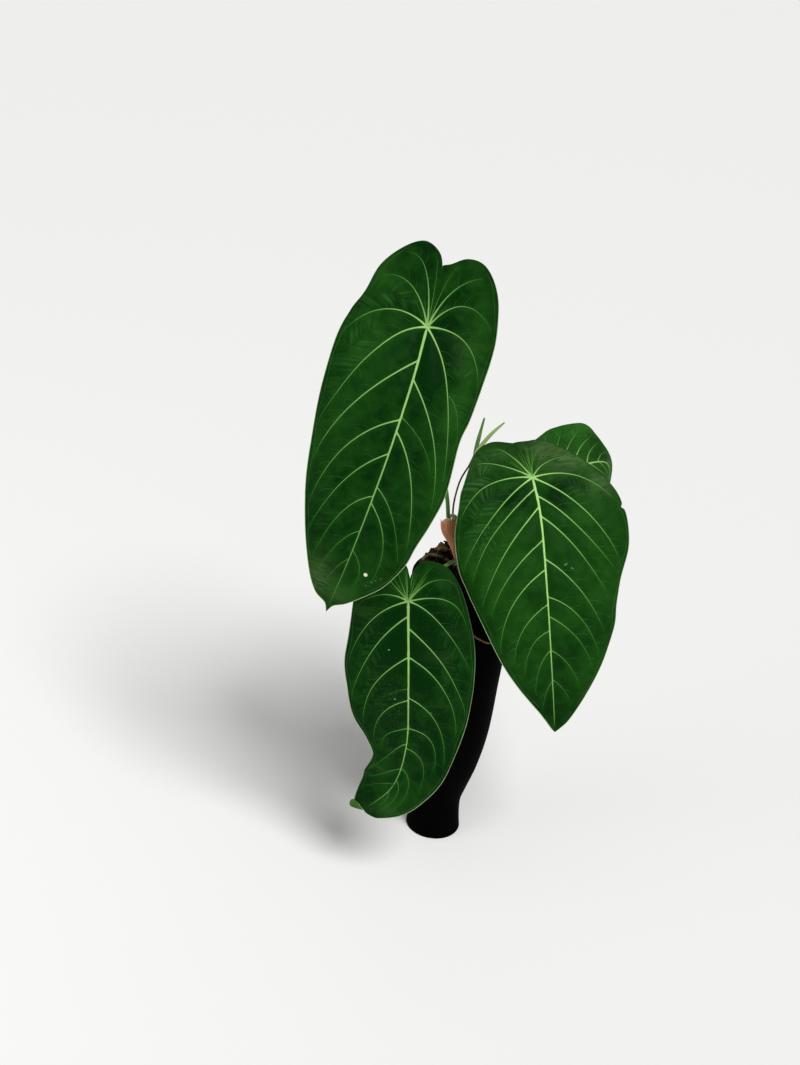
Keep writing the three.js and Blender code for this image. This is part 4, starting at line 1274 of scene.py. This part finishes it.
    def collecting_vein(self, bm, blade, side, layer):
        """The faint vein that runs just inside the margin and gathers the side veins."""
        margin = blade.margins[side]
        sign = 1 if side else -1
        first, last = 0.2, 0.93
        count = int(margin.length * (last - first) / 4)
        points = []
        for i in range(count + 1):
            share = first + (last - first) * i / count
            edge = margin.at(share * margin.length)
            inward = margin.heading(share * margin.length, 4).orthogonal() * sign
            points.append(edge + inward * (3.2 + 0.8 * math.sin(share * 50)))

        def width(u):
            return COLLECTING_WIDTH * min(1, 30 * u, 30 * (1 - u)) + 1e-6

        self.strand(bm, blade, side, points, width, lambda u: 0.08 + 0.06 * math.sin(u * 23), layer, 6)


class ANTHURIUM_OT_petioles(Operator):
    """Add the petioles with their swollen knees, and the stem that carries them"""
    bl_idname = "anthurium.petioles"
    bl_label = "Petioles and stem"

    def execute(self, context):
        settings = settings_of(context)
        colours = settings.stalk
        green = stalk_look("petiole_skin", colours.petiole, colours.petiole_pale)
        young = stalk_look("young_petiole_skin", colours.petiole_young, colours.petiole_pale)
        for name, (leaf, radius, knee, points) in PETIOLES.items():
            blade = Blade(leaf, settings.leaf)
            path = SmoothPath([*points, *[tuple(p) for p in blade.seat()]])
            self.petiole(name, path, radius, knee, young if name == "petiole_b" else green)
        self.stem(colours)
        return {"FINISHED"}

    def petiole(self, name, path, radius, knee, material):
        total = path.length

        def thickness(distance, turn):
            base = radius * (1 + 0.3 * math.exp(-distance / 18))
            swell = smooth((distance - total + KNEE_LENGTH + 3) / 6)
            swell *= 1 - 0.35 * smooth((distance - total + 4) / 4)
            groove = 0.1 * radius * math.exp(-((turn - math.pi / 2) / 0.35) ** 2) * (1 - swell)
            wrinkle = 0.02 * math.sin(distance * 2.6) * swell
            return base + (knee - radius) * swell - groove + wrinkle * radius

        stalk_piece(name + "_skin", name, "petiole_green", material, path, 2.2, 20, thickness)

    def stem(self, colours):
        radius, points = STEM
        path = SmoothPath(points)
        skin = stalk_look("stem_skin", colours.stem, tone("8a7a4c"), 2.0, 0.7, 0.0004, 0.8)

        def thickness(distance, turn):
            scar = 0.35 * math.exp(-(((distance + 0.8 * math.sin(turn)) % 9 - 4.5) / 0.9) ** 2)
            return radius * (0.97 - 0.12 * distance / path.length) + scar

        stalk_piece("stem_skin", "stem", "stem", skin, path, 1.2, 28, thickness)


def sheet_frame(path, facing, distance):
    """The heading, side and normal of a sheet that faces one way, at a distance along its path."""
    heading = path.heading(distance)
    across = facing.cross(heading).normalized()
    return heading, across, heading.cross(across)


class ANTHURIUM_OT_flower(Operator):
    """Add the young flower: its stalk, spike and hood leaf"""
    bl_idname = "anthurium.flower"
    bl_label = "Flower"

    def execute(self, context):
        colours = settings_of(context).stalk
        self.peduncle(colours)
        self.spadix(colours)
        self.spathe(colours)
        return {"FINISHED"}

    def peduncle(self, colours):
        radius, points = PEDUNCLE
        # The peduncle's dark colour is partly painted shade.
        skin = stalk_look("peduncle_skin", colours.peduncle, tone("5f6b35"), 3.0, 0.5)

        def thickness(distance, turn):
            return radius * (1.15 - 0.2 * min(distance / 60, 1))

        path = SmoothPath(points)
        stalk_piece("peduncle_skin", "peduncle", "peduncle", skin, path, 2, 14, thickness)

    def spadix(self, colours):
        radius, points = SPADIX
        path = SmoothPath(points)
        skin = stalk_look("spadix_skin", colours.spadix, tone("93ad62"), 5.0, 0.5)

        def thickness(distance, turn):
            share = distance / path.length
            body = radius * (0.8 + 0.25 * math.sin(math.pi * min(share * 1.4, 1)))
            body *= 1 - 0.45 * share ** 3
            flowers = math.sin(5 * turn + distance * 2.2) * math.sin(5 * turn - distance * 2.2)
            return body + 0.11 * flowers

        stalk_piece("spadix_spike", "spadix", "spadix", skin, path, 0.45, 40, thickness)

    def spathe(self, colours):
        path = SmoothPath(SPATHE["midline"])
        facing = Vector(SPATHE["facing"]).normalized()
        bm = bmesh.new()
        layer = stalk_layer(bm)

        def place(vert, u, v):
            across_share = 1 - 2 * v
            distance = u * path.length
            heading, across, normal = sheet_frame(path, facing, distance)
            half = SPATHE["half_width"] * math.sin(math.pi * (0.12 + 0.87 * u)) ** 0.7
            groove = 0.25 * math.exp(-(across_share / 0.12) ** 2)
            nerves = 0.05 * math.cos(across_share * 22)
            raised = SPATHE["curl"] * across_share ** 2 - groove + nerves
            vert[layer] = Vector((across_share, 0, distance / 10))
            return (path.at(distance) + across * half * across_share + normal * raised) * MM

        add_grid(bm, 60, 24, place)
        skin = stalk_look("spathe_skin", colours.spathe, tone("c9d9a0"), 6.0, 0.5)
        thicken(finish(bm, "spathe_hood", [skin], "spathe", "spathe", closed=False), 0.0005)


class ANTHURIUM_OT_sheaths(Operator):
    """Add the ribbed papery sheaths with their torn tops"""
    bl_idname = "anthurium.sheaths"
    bl_label = "Sheaths"

    def execute(self, context):
        colours = settings_of(context).stalk
        red = sheath_look("sheath_red_paper", colours.sheath, tone("e8b896"), tone("b8704c"))
        dry = sheath_look("sheath_dry_paper", colours.sheath_dry, tone("a58a66"), tone("3d2a1a"))
        for (name, spec), material in zip(SHEATHS.items(), (red, dry)):
            self.sheath(name, spec, material)
        return {"FINISHED"}

    def sheath(self, name, spec, material):
        path = SmoothPath(spec["midline"])
        last = len(spec["half_widths"]) - 1
        widths = SmoothPath(list(enumerate(spec["half_widths"])), False)
        facing = Vector(spec["facing"]).normalized()
        bm = bmesh.new()
        spot = bm.verts.layers.float_vector.new("sheath_place")
        torn = bm.verts.layers.float.new("torn")

        def place(vert, u, v):
            round_share = 1 - 2 * v
            teeth = noise.noise(Vector((round_share * 4.5, spec["seed"], 0)))
            teeth += 0.6 * noise.noise(Vector((round_share * 15, spec["seed"], 3)))
            distance = u * path.length
            heading, across, normal = sheet_frame(path, facing, distance)
            half = self.width_at(widths, u * last)
            ribs = 0.16 * math.cos(math.pi * spec["ribs"] * round_share)
            crinkle = 0.5 * noise.noise(Vector((round_share * 3, u * 5, spec["seed"])))
            back = -spec["wrap"] * round_share ** 2 + ribs + crinkle * u
            stretch = spec["ragged"] * teeth * smooth((u - 0.7) / 0.3)
            stretch -= spec["slope"] * smooth((round_share - 0.1) / 0.9) * smooth((u - 0.5) / 0.5)
            vert[spot] = Vector((round_share, u, 0))
            vert[torn] = smooth((u - 0.93 + 0.05 * teeth) / 0.07) * 0.8
            return (path.at(distance) + across * half * round_share + normal * back
                    + heading * stretch) * MM

        add_grid(bm, 60, 96, place)
        thicken(finish(bm, name + "_paper", [material], spec["slot"], name, closed=False), 0.0004)

    def width_at(self, widths, index):
        """The half-width at a place between the named ones, counted from the foot."""
        last = len(widths.places) - 1
        i = bisect.bisect_left(widths.places, index, 1, last, key=lambda place: place.x)
        a, b = widths.places[i - 1], widths.places[i]
        return a.y + (b.y - a.y) * min(max((index - a.x) / max(b.x - a.x, 1e-6), 0), 1)


class ANTHURIUM_OT_roots(Operator):
    """Add the aerial roots"""
    bl_idname = "anthurium.roots"
    bl_label = "Aerial roots"

    def execute(self, context):
        colours = settings_of(context).stalk
        thick = root_look("root_skin", colours.root, tone("443c26"))
        thin = root_look("thin_root_skin", colours.root_tan, tone("6f5335"))
        for seed, (name, (radius, points)) in enumerate(ROOTS.items()):
            def thickness(distance, turn):
                knobs = noise.noise(Vector((math.cos(turn), math.sin(turn), distance / 5 + 9 * seed)))
                return radius * (0.94 + 0.12 * knobs)

            material = thin if name == "root_over_rim" else thick
            stalk_piece(name + "_skin", name, "aerial_root", material, SmoothPath(points), 1.0, 20,
                        thickness)
        return {"FINISHED"}


class ANTHURIUM_OT_planter(Operator):
    """Add the turned planter with its drain holes"""
    bl_idname = "anthurium.planter"
    bl_label = "Planter"

    def execute(self, context):
        settings = settings_of(context).pot
        bm = bmesh.new()
        wall = SmoothPath(POT_OUTSIDE, False)
        outside = [wall.at(wall.length * i / 90) for i in range(91)]
        rim = POT_OUTSIDE[-1][0]
        inner_top = rim - POT_WALL
        lip = [(rim - 0.25, POT_HEIGHT - 1.9), (rim - 0.8, POT_HEIGHT - 0.7),
               (rim - 1.7, POT_HEIGHT - 0.1), (rim - 2.4, POT_HEIGHT),
               (inner_top + 0.8, POT_HEIGHT - 0.4), (inner_top, POT_HEIGHT - 1.6)]
        inside = [(p.x - POT_WALL, p.y) for p in reversed(outside) if p.y > POT_FLOOR + 8]
        foot = POT_OUTSIDE[0][0]
        profile = [(0, 0), (foot - 3, 0), (foot - 1.5, 0), (foot - 0.5, 0.5),
                   *[tuple(p) for p in outside], *lip, *inside,
                   (foot - POT_WALL - 2.4, POT_FLOOR), (0, POT_FLOOR)]
        verts = [bm.verts.new((r * MM, 0, z * MM)) for r, z in profile]
        edges = [bm.edges.new(pair) for pair in zip(verts, verts[1:])]
        bmesh.ops.spin(bm, geom=verts + edges, cent=(0, 0, 0), axis=(0, 0, 1), dvec=(0, 0, 0),
                       angle=2 * math.pi, steps=settings.segments, use_merge=True)
        bmesh.ops.remove_doubles(bm, verts=bm.verts, dist=1e-6)
        piece = finish(bm, "planter", [pot_look(settings)], "pot_black", "pot")
        self.drill(context, piece)
        return {"FINISHED"}

    def drill(self, context, piece):
        """Cuts the drain holes and the grooves that lead from them, and keeps the result."""
        cutter = bmesh.new()
        for i in range(DRAINS["count"]):
            angle = 2 * math.pi * i / DRAINS["count"] + math.pi / 6
            turned = Matrix.Rotation(angle, 4, "Z")
            hole = turned @ Matrix.Translation((DRAINS["circle"] * MM, 0, 0))
            bmesh.ops.create_cone(cutter, cap_ends=True, segments=32, radius1=DRAINS["radius"] * MM,
                                  radius2=DRAINS["radius"] * MM, depth=3 * POT_FLOOR * MM, matrix=hole)
            reach = 2 * POT_OUTSIDE[0][0]
            size = Matrix.Diagonal((reach * MM, DRAINS["groove_width"] * MM,
                                    2 * DRAINS["groove_depth"] * MM, 1))
            away = Matrix.Translation(((DRAINS["circle"] + reach / 2) * MM, 0, 0))
            bmesh.ops.create_cube(cutter, size=1, matrix=turned @ away @ size)
        tool = placed("drain_cutter", mesh_of(cutter, "drain_cutter"))
        cut = piece.modifiers.new("drains", "BOOLEAN")
        cut.operation = "DIFFERENCE"
        cut.solver = "EXACT"
        cut.use_self = True
        cut.object = tool
        drilled = bpy.data.meshes.new_from_object(piece.evaluated_get(context.evaluated_depsgraph_get()))
        piece.modifiers.clear()
        piece.data = drilled
        piece.data.shade_smooth()
        piece.data.set_sharp_from_angle(angle=math.radians(50))
        bpy.data.objects.remove(tool)


def seeded(seed):
    """A seeded sequence of numbers from 0 to 1, so that every run gives the same plant."""
    state = seed
    while True:
        state = state * 16807 % 2147483647
        yield state / 2147483647


def mound(radius):
    """The height of the mix at a distance from the middle."""
    fall = MIX_CROWN_HEIGHT - MIX_EDGE_HEIGHT
    return MIX_CROWN_HEIGHT - fall * (radius / MIX_FALL_RADIUS) ** 2


def ring_spot(radius, angle, height):
    return radius * math.cos(angle), radius * math.sin(angle), height


def mound_spot(radius, angle, above):
    return ring_spot(radius, angle, mound(radius) + above)


def with_painted_shade(shade, spot):
    """A chip's tone, darker on the front right: painted shade under the leaves."""
    return shade * (PAINTED_SHADE_DIM if SHADED_SIDE.dot(Vector(spot[:2])) > SHADE_LINE else 1)


class ANTHURIUM_OT_bark_mix(Operator):
    """Add the bark mix: mound, chips, splinters, crumbs and moss"""
    bl_idname = "anthurium.bark_mix"
    bl_label = "Bark mix"

    def execute(self, context):
        settings = settings_of(context).mix
        bark = bark_look(settings)
        self.bed(bark)
        self.chips(settings, bark)
        self.moss(settings)
        return {"FINISHED"}

    def bed(self, material):
        """The soil under the chips: a rough mound that closes against the planter's wall."""
        bm = bmesh.new()
        layer = bm.verts.layers.float.new("chip_tone")

        def place(vert, u, v):
            radius = MIX_RADIUS * u
            turn = 2 * math.pi * v
            x, y = radius * math.cos(turn), radius * math.sin(turn)
            rough = noise.noise(Vector((x * 0.22, y * 0.22, 2))) * 1.6
            rough += noise.noise(Vector((x * 0.7, y * 0.7, 5))) * 0.8
            vert[layer] = 0.12 + 0.1 * noise.noise(Vector((x * 0.5, y * 0.5, 8)))
            return Vector((x, y, mound(radius) - 1.0 + rough)) * MM

        made = add_grid(bm, 60, 150, place)
        bmesh.ops.remove_doubles(bm, verts=made, dist=1e-6)
        rim = [edge for edge in bm.edges if edge.is_boundary]
        skirt = bmesh.ops.extrude_edge_only(bm, edges=rim)["geom"]
        lowered = [item for item in skirt if isinstance(item, bmesh.types.BMVert)]
        bottom = [item for item in skirt if isinstance(item, bmesh.types.BMEdge)]
        bmesh.ops.translate(bm, verts=lowered, vec=(0, 0, -0.02))
        bmesh.ops.contextual_create(bm, geom=bottom)
        finish(bm, "soil_bed", [material], "bark_mix", "potting_mix")

    def add_chip(self, bm, layer, random, size, spot, shade, finer, tilt=1.2):
        """A rough chip: a worn box with its corners knocked about and its faces flaked."""
        verts = bmesh.ops.create_icosphere(bm, subdivisions=finer, radius=1)["verts"]
        shrink = [(Vector(corner), 0.65 + 0.35 * next(random)) for corner in CHIP_CORNERS]
        turns = Euler(((next(random) - 0.5) * tilt, (next(random) - 0.5) * tilt,
                       next(random) * math.pi), "XYZ")
        where = Vector(spot)
        bulk = sum(size) / 3
        half = Vector(size) / 2
        for vert in verts:
            box = vert.co / max(abs(value) for value in vert.co)
            worn = vert.co.lerp(box, 0.8)
            kept = sum(scale * math.prod((1 + c * w) / 2 for c, w in zip(corner, worn))
                       for corner, scale in shrink)
            flake = noise.noise(worn * 1.3 + where) * 0.16 + noise.noise(worn * 4 + where) * 0.05
            vert.co = worn * half * kept + worn.normalized() * flake * bulk
            vert[layer] = shade
        move = Matrix.Translation(where * MM) @ turns.to_matrix().to_4x4() @ Matrix.Scale(MM, 4)
        bmesh.ops.transform(bm, verts=verts, matrix=move)

    def chips(self, settings, material):
        bm = bmesh.new()
        layer = bm.verts.layers.float.new("chip_tone")
        random = seeded(41)
        for i in range(32):
            radius = 16 + 31 * math.sqrt(next(random))
            angle = TURN_BETWEEN_CHIPS * i + next(random)
            size = (7 + 7 * next(random), 5 + 6 * next(random), 4 + 4 * next(random))
            spot = mound_spot(radius, angle, 1.2)
            shade = with_painted_shade(CHIP_SHADES[i % len(CHIP_SHADES)], spot)
            self.add_chip(bm, layer, random, size, spot, shade, 4)
        for bearing, radius, height, size, shade in HEAPED_CHIPS:
            spot = ring_spot(radius, math.radians(bearing), height)
            self.add_chip(bm, layer, random, size, spot, shade, 4, 0.5)
        for i in range(9):
            angle = 2.1 + 0.12 * i
            radius = 30 + 14 * next(random)
            size = (2.6, 2.2, 17 + 6 * next(random))
            self.add_chip(bm, layer, random, size, mound_spot(radius, angle, 3), 0.08 + 0.02 * i, 4)
        for i in range(settings.chips):
            radius = 10 + 44 * math.sqrt(next(random))
            angle = TURN_BETWEEN_CHIPS * i + next(random)
            bulk = 2.2 + 3.6 * next(random) ** 2
            size = (bulk * 1.5, bulk, bulk * (0.5 + 0.5 * next(random)))
            spot = mound_spot(radius, angle, 0.6 + bulk * 0.2)
            shade = with_painted_shade(0.1 + 0.75 * next(random) ** 2.2, spot)
            self.add_chip(bm, layer, random, size, spot, shade, 2, 2.4)
        for i in range(settings.crumbs):
            radius = 54 * math.sqrt(next(random))
            angle = TURN_BETWEEN_CHIPS * i + next(random)
            bulk = 0.7 + 1.3 * next(random)
            spot = mound_spot(radius, angle, 0.4)
            shade = with_painted_shade(0.08 + 0.7 * next(random) ** 3, spot)
            self.add_chip(bm, layer, random, (bulk, bulk, bulk), spot, shade, 1, 3)
        finish(bm, "bark_chips", [material], "bark_mix")

    def moss(self, settings):
        bm = bmesh.new()
        random = seeded(19)
        for i in range(settings.moss_strands):
            x, y = MOSS_TUFTS[i % len(MOSS_TUFTS)]
            x += 7 * (next(random) - 0.5)
            y += 7 * (next(random) - 0.5)
            foot = Vector((x, y, mound(math.hypot(x, y)) + (9 if x < -18 else 4)))
            lean = Vector((next(random) - 0.5, next(random) - 0.5, 0.35 + 0.5 * next(random)))
            reach = 2.5 + 3.5 * next(random)
            side = Vector((next(random) - 0.5, next(random) - 0.5, -0.4)) * 2
            path = SmoothPath([foot, foot + lean * reach * 0.6, foot + lean * reach + side], True, 4)
            stations = [path.length * s / 5 for s in range(6)]
            wide = (0.28 + 0.2 * next(random)) * MM
            add_tube(bm, path_frames(path, stations), 4, lambda u, turn: round_section(
                wide * math.sin(math.pi * (0.1 + 0.9 * u)), turn))
        finish(bm, "moss_tufts", [moss_look(settings)], "bark_mix")


class ANTHURIUM_OT_stage(Operator):
    """Add the pale floor, the soft lights and the photograph's camera"""
    bl_idname = "anthurium.stage"
    bl_label = "Stage"

    def execute(self, context):
        settings = settings_of(context).stage
        self.floor(settings)
        self.sun(settings)
        self.light("fill_light", settings.fill, 1.4, (-1.7, -0.9, 0.7), (0, 0, 0.45))
        world = bpy.data.worlds.new("studio")
        world.use_nodes = True
        sky = world.node_tree.nodes["Background"]
        sky.inputs["Color"].default_value = (1, 1, 1, 1)
        sky.inputs["Strength"].default_value = settings.sky
        context.scene.world = world
        context.scene.view_settings.view_transform = "Standard"
        self.camera(context)
        return {"FINISHED"}

    def floor(self, settings):
        bm = bmesh.new()
        bmesh.ops.create_grid(bm, x_segments=1, y_segments=1, size=30)
        floor = placed("floor", mesh_of(bm, "floor"))
        look = Look("floor_paper", Base_Color=settings.floor, Roughness=0.9, Specular_IOR_Level=0.1)
        floor.data.materials.append(look.material)

    def sun(self, settings):
        """A wide soft light from above, in front and to the right, even over the whole floor."""
        lamp = bpy.data.lights.new("key_light", "SUN")
        lamp.energy = settings.key
        lamp.angle = math.radians(26)
        placed("key_light", lamp).rotation_euler = (math.radians(36), 0, math.radians(34))

    def light(self, name, power, size, place, aim):
        lamp = bpy.data.lights.new(name, "AREA")
        lamp.shape = "DISK"
        lamp.size = size
        lamp.energy = power
        turn = (Vector(aim) - Vector(place)).to_track_quat("-Z", "Y").to_matrix().to_4x4()
        placed(name, lamp).matrix_world = Matrix.Translation(place) @ turn

    def camera(self, context):
        down = math.radians(CAMERA["down"])
        roll = math.radians(CAMERA["roll"])
        forward = Vector((0, math.cos(down), -math.sin(down)))
        up = Vector((0, math.sin(down), math.cos(down)))
        right = Vector((1, 0, 0))
        x_axis = right * math.cos(roll) + up * math.sin(roll)
        y_axis = up * math.cos(roll) - right * math.sin(roll)
        lens = bpy.data.cameras.new("photo_camera")
        lens.lens = CAMERA["lens"]
        lens.sensor_fit = "VERTICAL"
        lens.sensor_height = CAMERA["film"]
        lens.clip_end = 100
        camera = placed("photo_camera", lens)
        turn = Matrix((x_axis, y_axis, -forward)).transposed().to_4x4()
        camera.matrix_world = Matrix.Translation(Vector(CAMERA["place"]) * MM) @ turn
        context.scene.camera = camera


class AnthuriumSettings(PropertyGroup):
    leaf: PointerProperty(type=LeafSettings)
    stalk: PointerProperty(type=StalkSettings)
    mix: PointerProperty(type=MixSettings)
    pot: PointerProperty(type=PotSettings)
    stage: PointerProperty(type=StageSettings)


STEPS = (
    ANTHURIUM_OT_stage,
    ANTHURIUM_OT_blades,
    ANTHURIUM_OT_veins,
    ANTHURIUM_OT_petioles,
    ANTHURIUM_OT_flower,
    ANTHURIUM_OT_sheaths,
    ANTHURIUM_OT_roots,
    ANTHURIUM_OT_planter,
    ANTHURIUM_OT_bark_mix,
)


class ANTHURIUM_PT_panel(Panel):
    """The plant's steps and settings"""
    bl_idname = "ANTHURIUM_PT_panel"
    bl_label = "Anthurium"
    bl_space_type = "VIEW_3D"
    bl_region_type = "UI"
    bl_category = "Anthurium"

    def draw(self, context):
        for step in STEPS:
            self.layout.operator(step.bl_idname)
        settings = settings_of(context)
        for group in ("leaf", "stalk", "mix", "pot", "stage"):
            box = self.layout.box()
            values = getattr(settings, group)
            for name in values.__annotations__:
                box.prop(values, name)


CLASSES = (LeafSettings, StalkSettings, MixSettings, PotSettings, StageSettings, AnthuriumSettings,
           *STEPS, ANTHURIUM_PT_panel)


def register():
    for cls in CLASSES:
        bpy.utils.register_class(cls)
    bpy.types.Scene.anthurium = PointerProperty(type=AnthuriumSettings)


def unregister():
    del bpy.types.Scene.anthurium
    for cls in reversed(CLASSES):
        bpy.utils.unregister_class(cls)


def main():
    register()
    bpy.ops.anthurium.stage()
    bpy.ops.anthurium.blades()
    bpy.ops.anthurium.veins()
    bpy.ops.anthurium.petioles()
    bpy.ops.anthurium.flower()
    bpy.ops.anthurium.sheaths()
    bpy.ops.anthurium.roots()
    bpy.ops.anthurium.planter()
    bpy.ops.anthurium.bark_mix()
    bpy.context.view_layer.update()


if __name__ == "__main__":
    main()
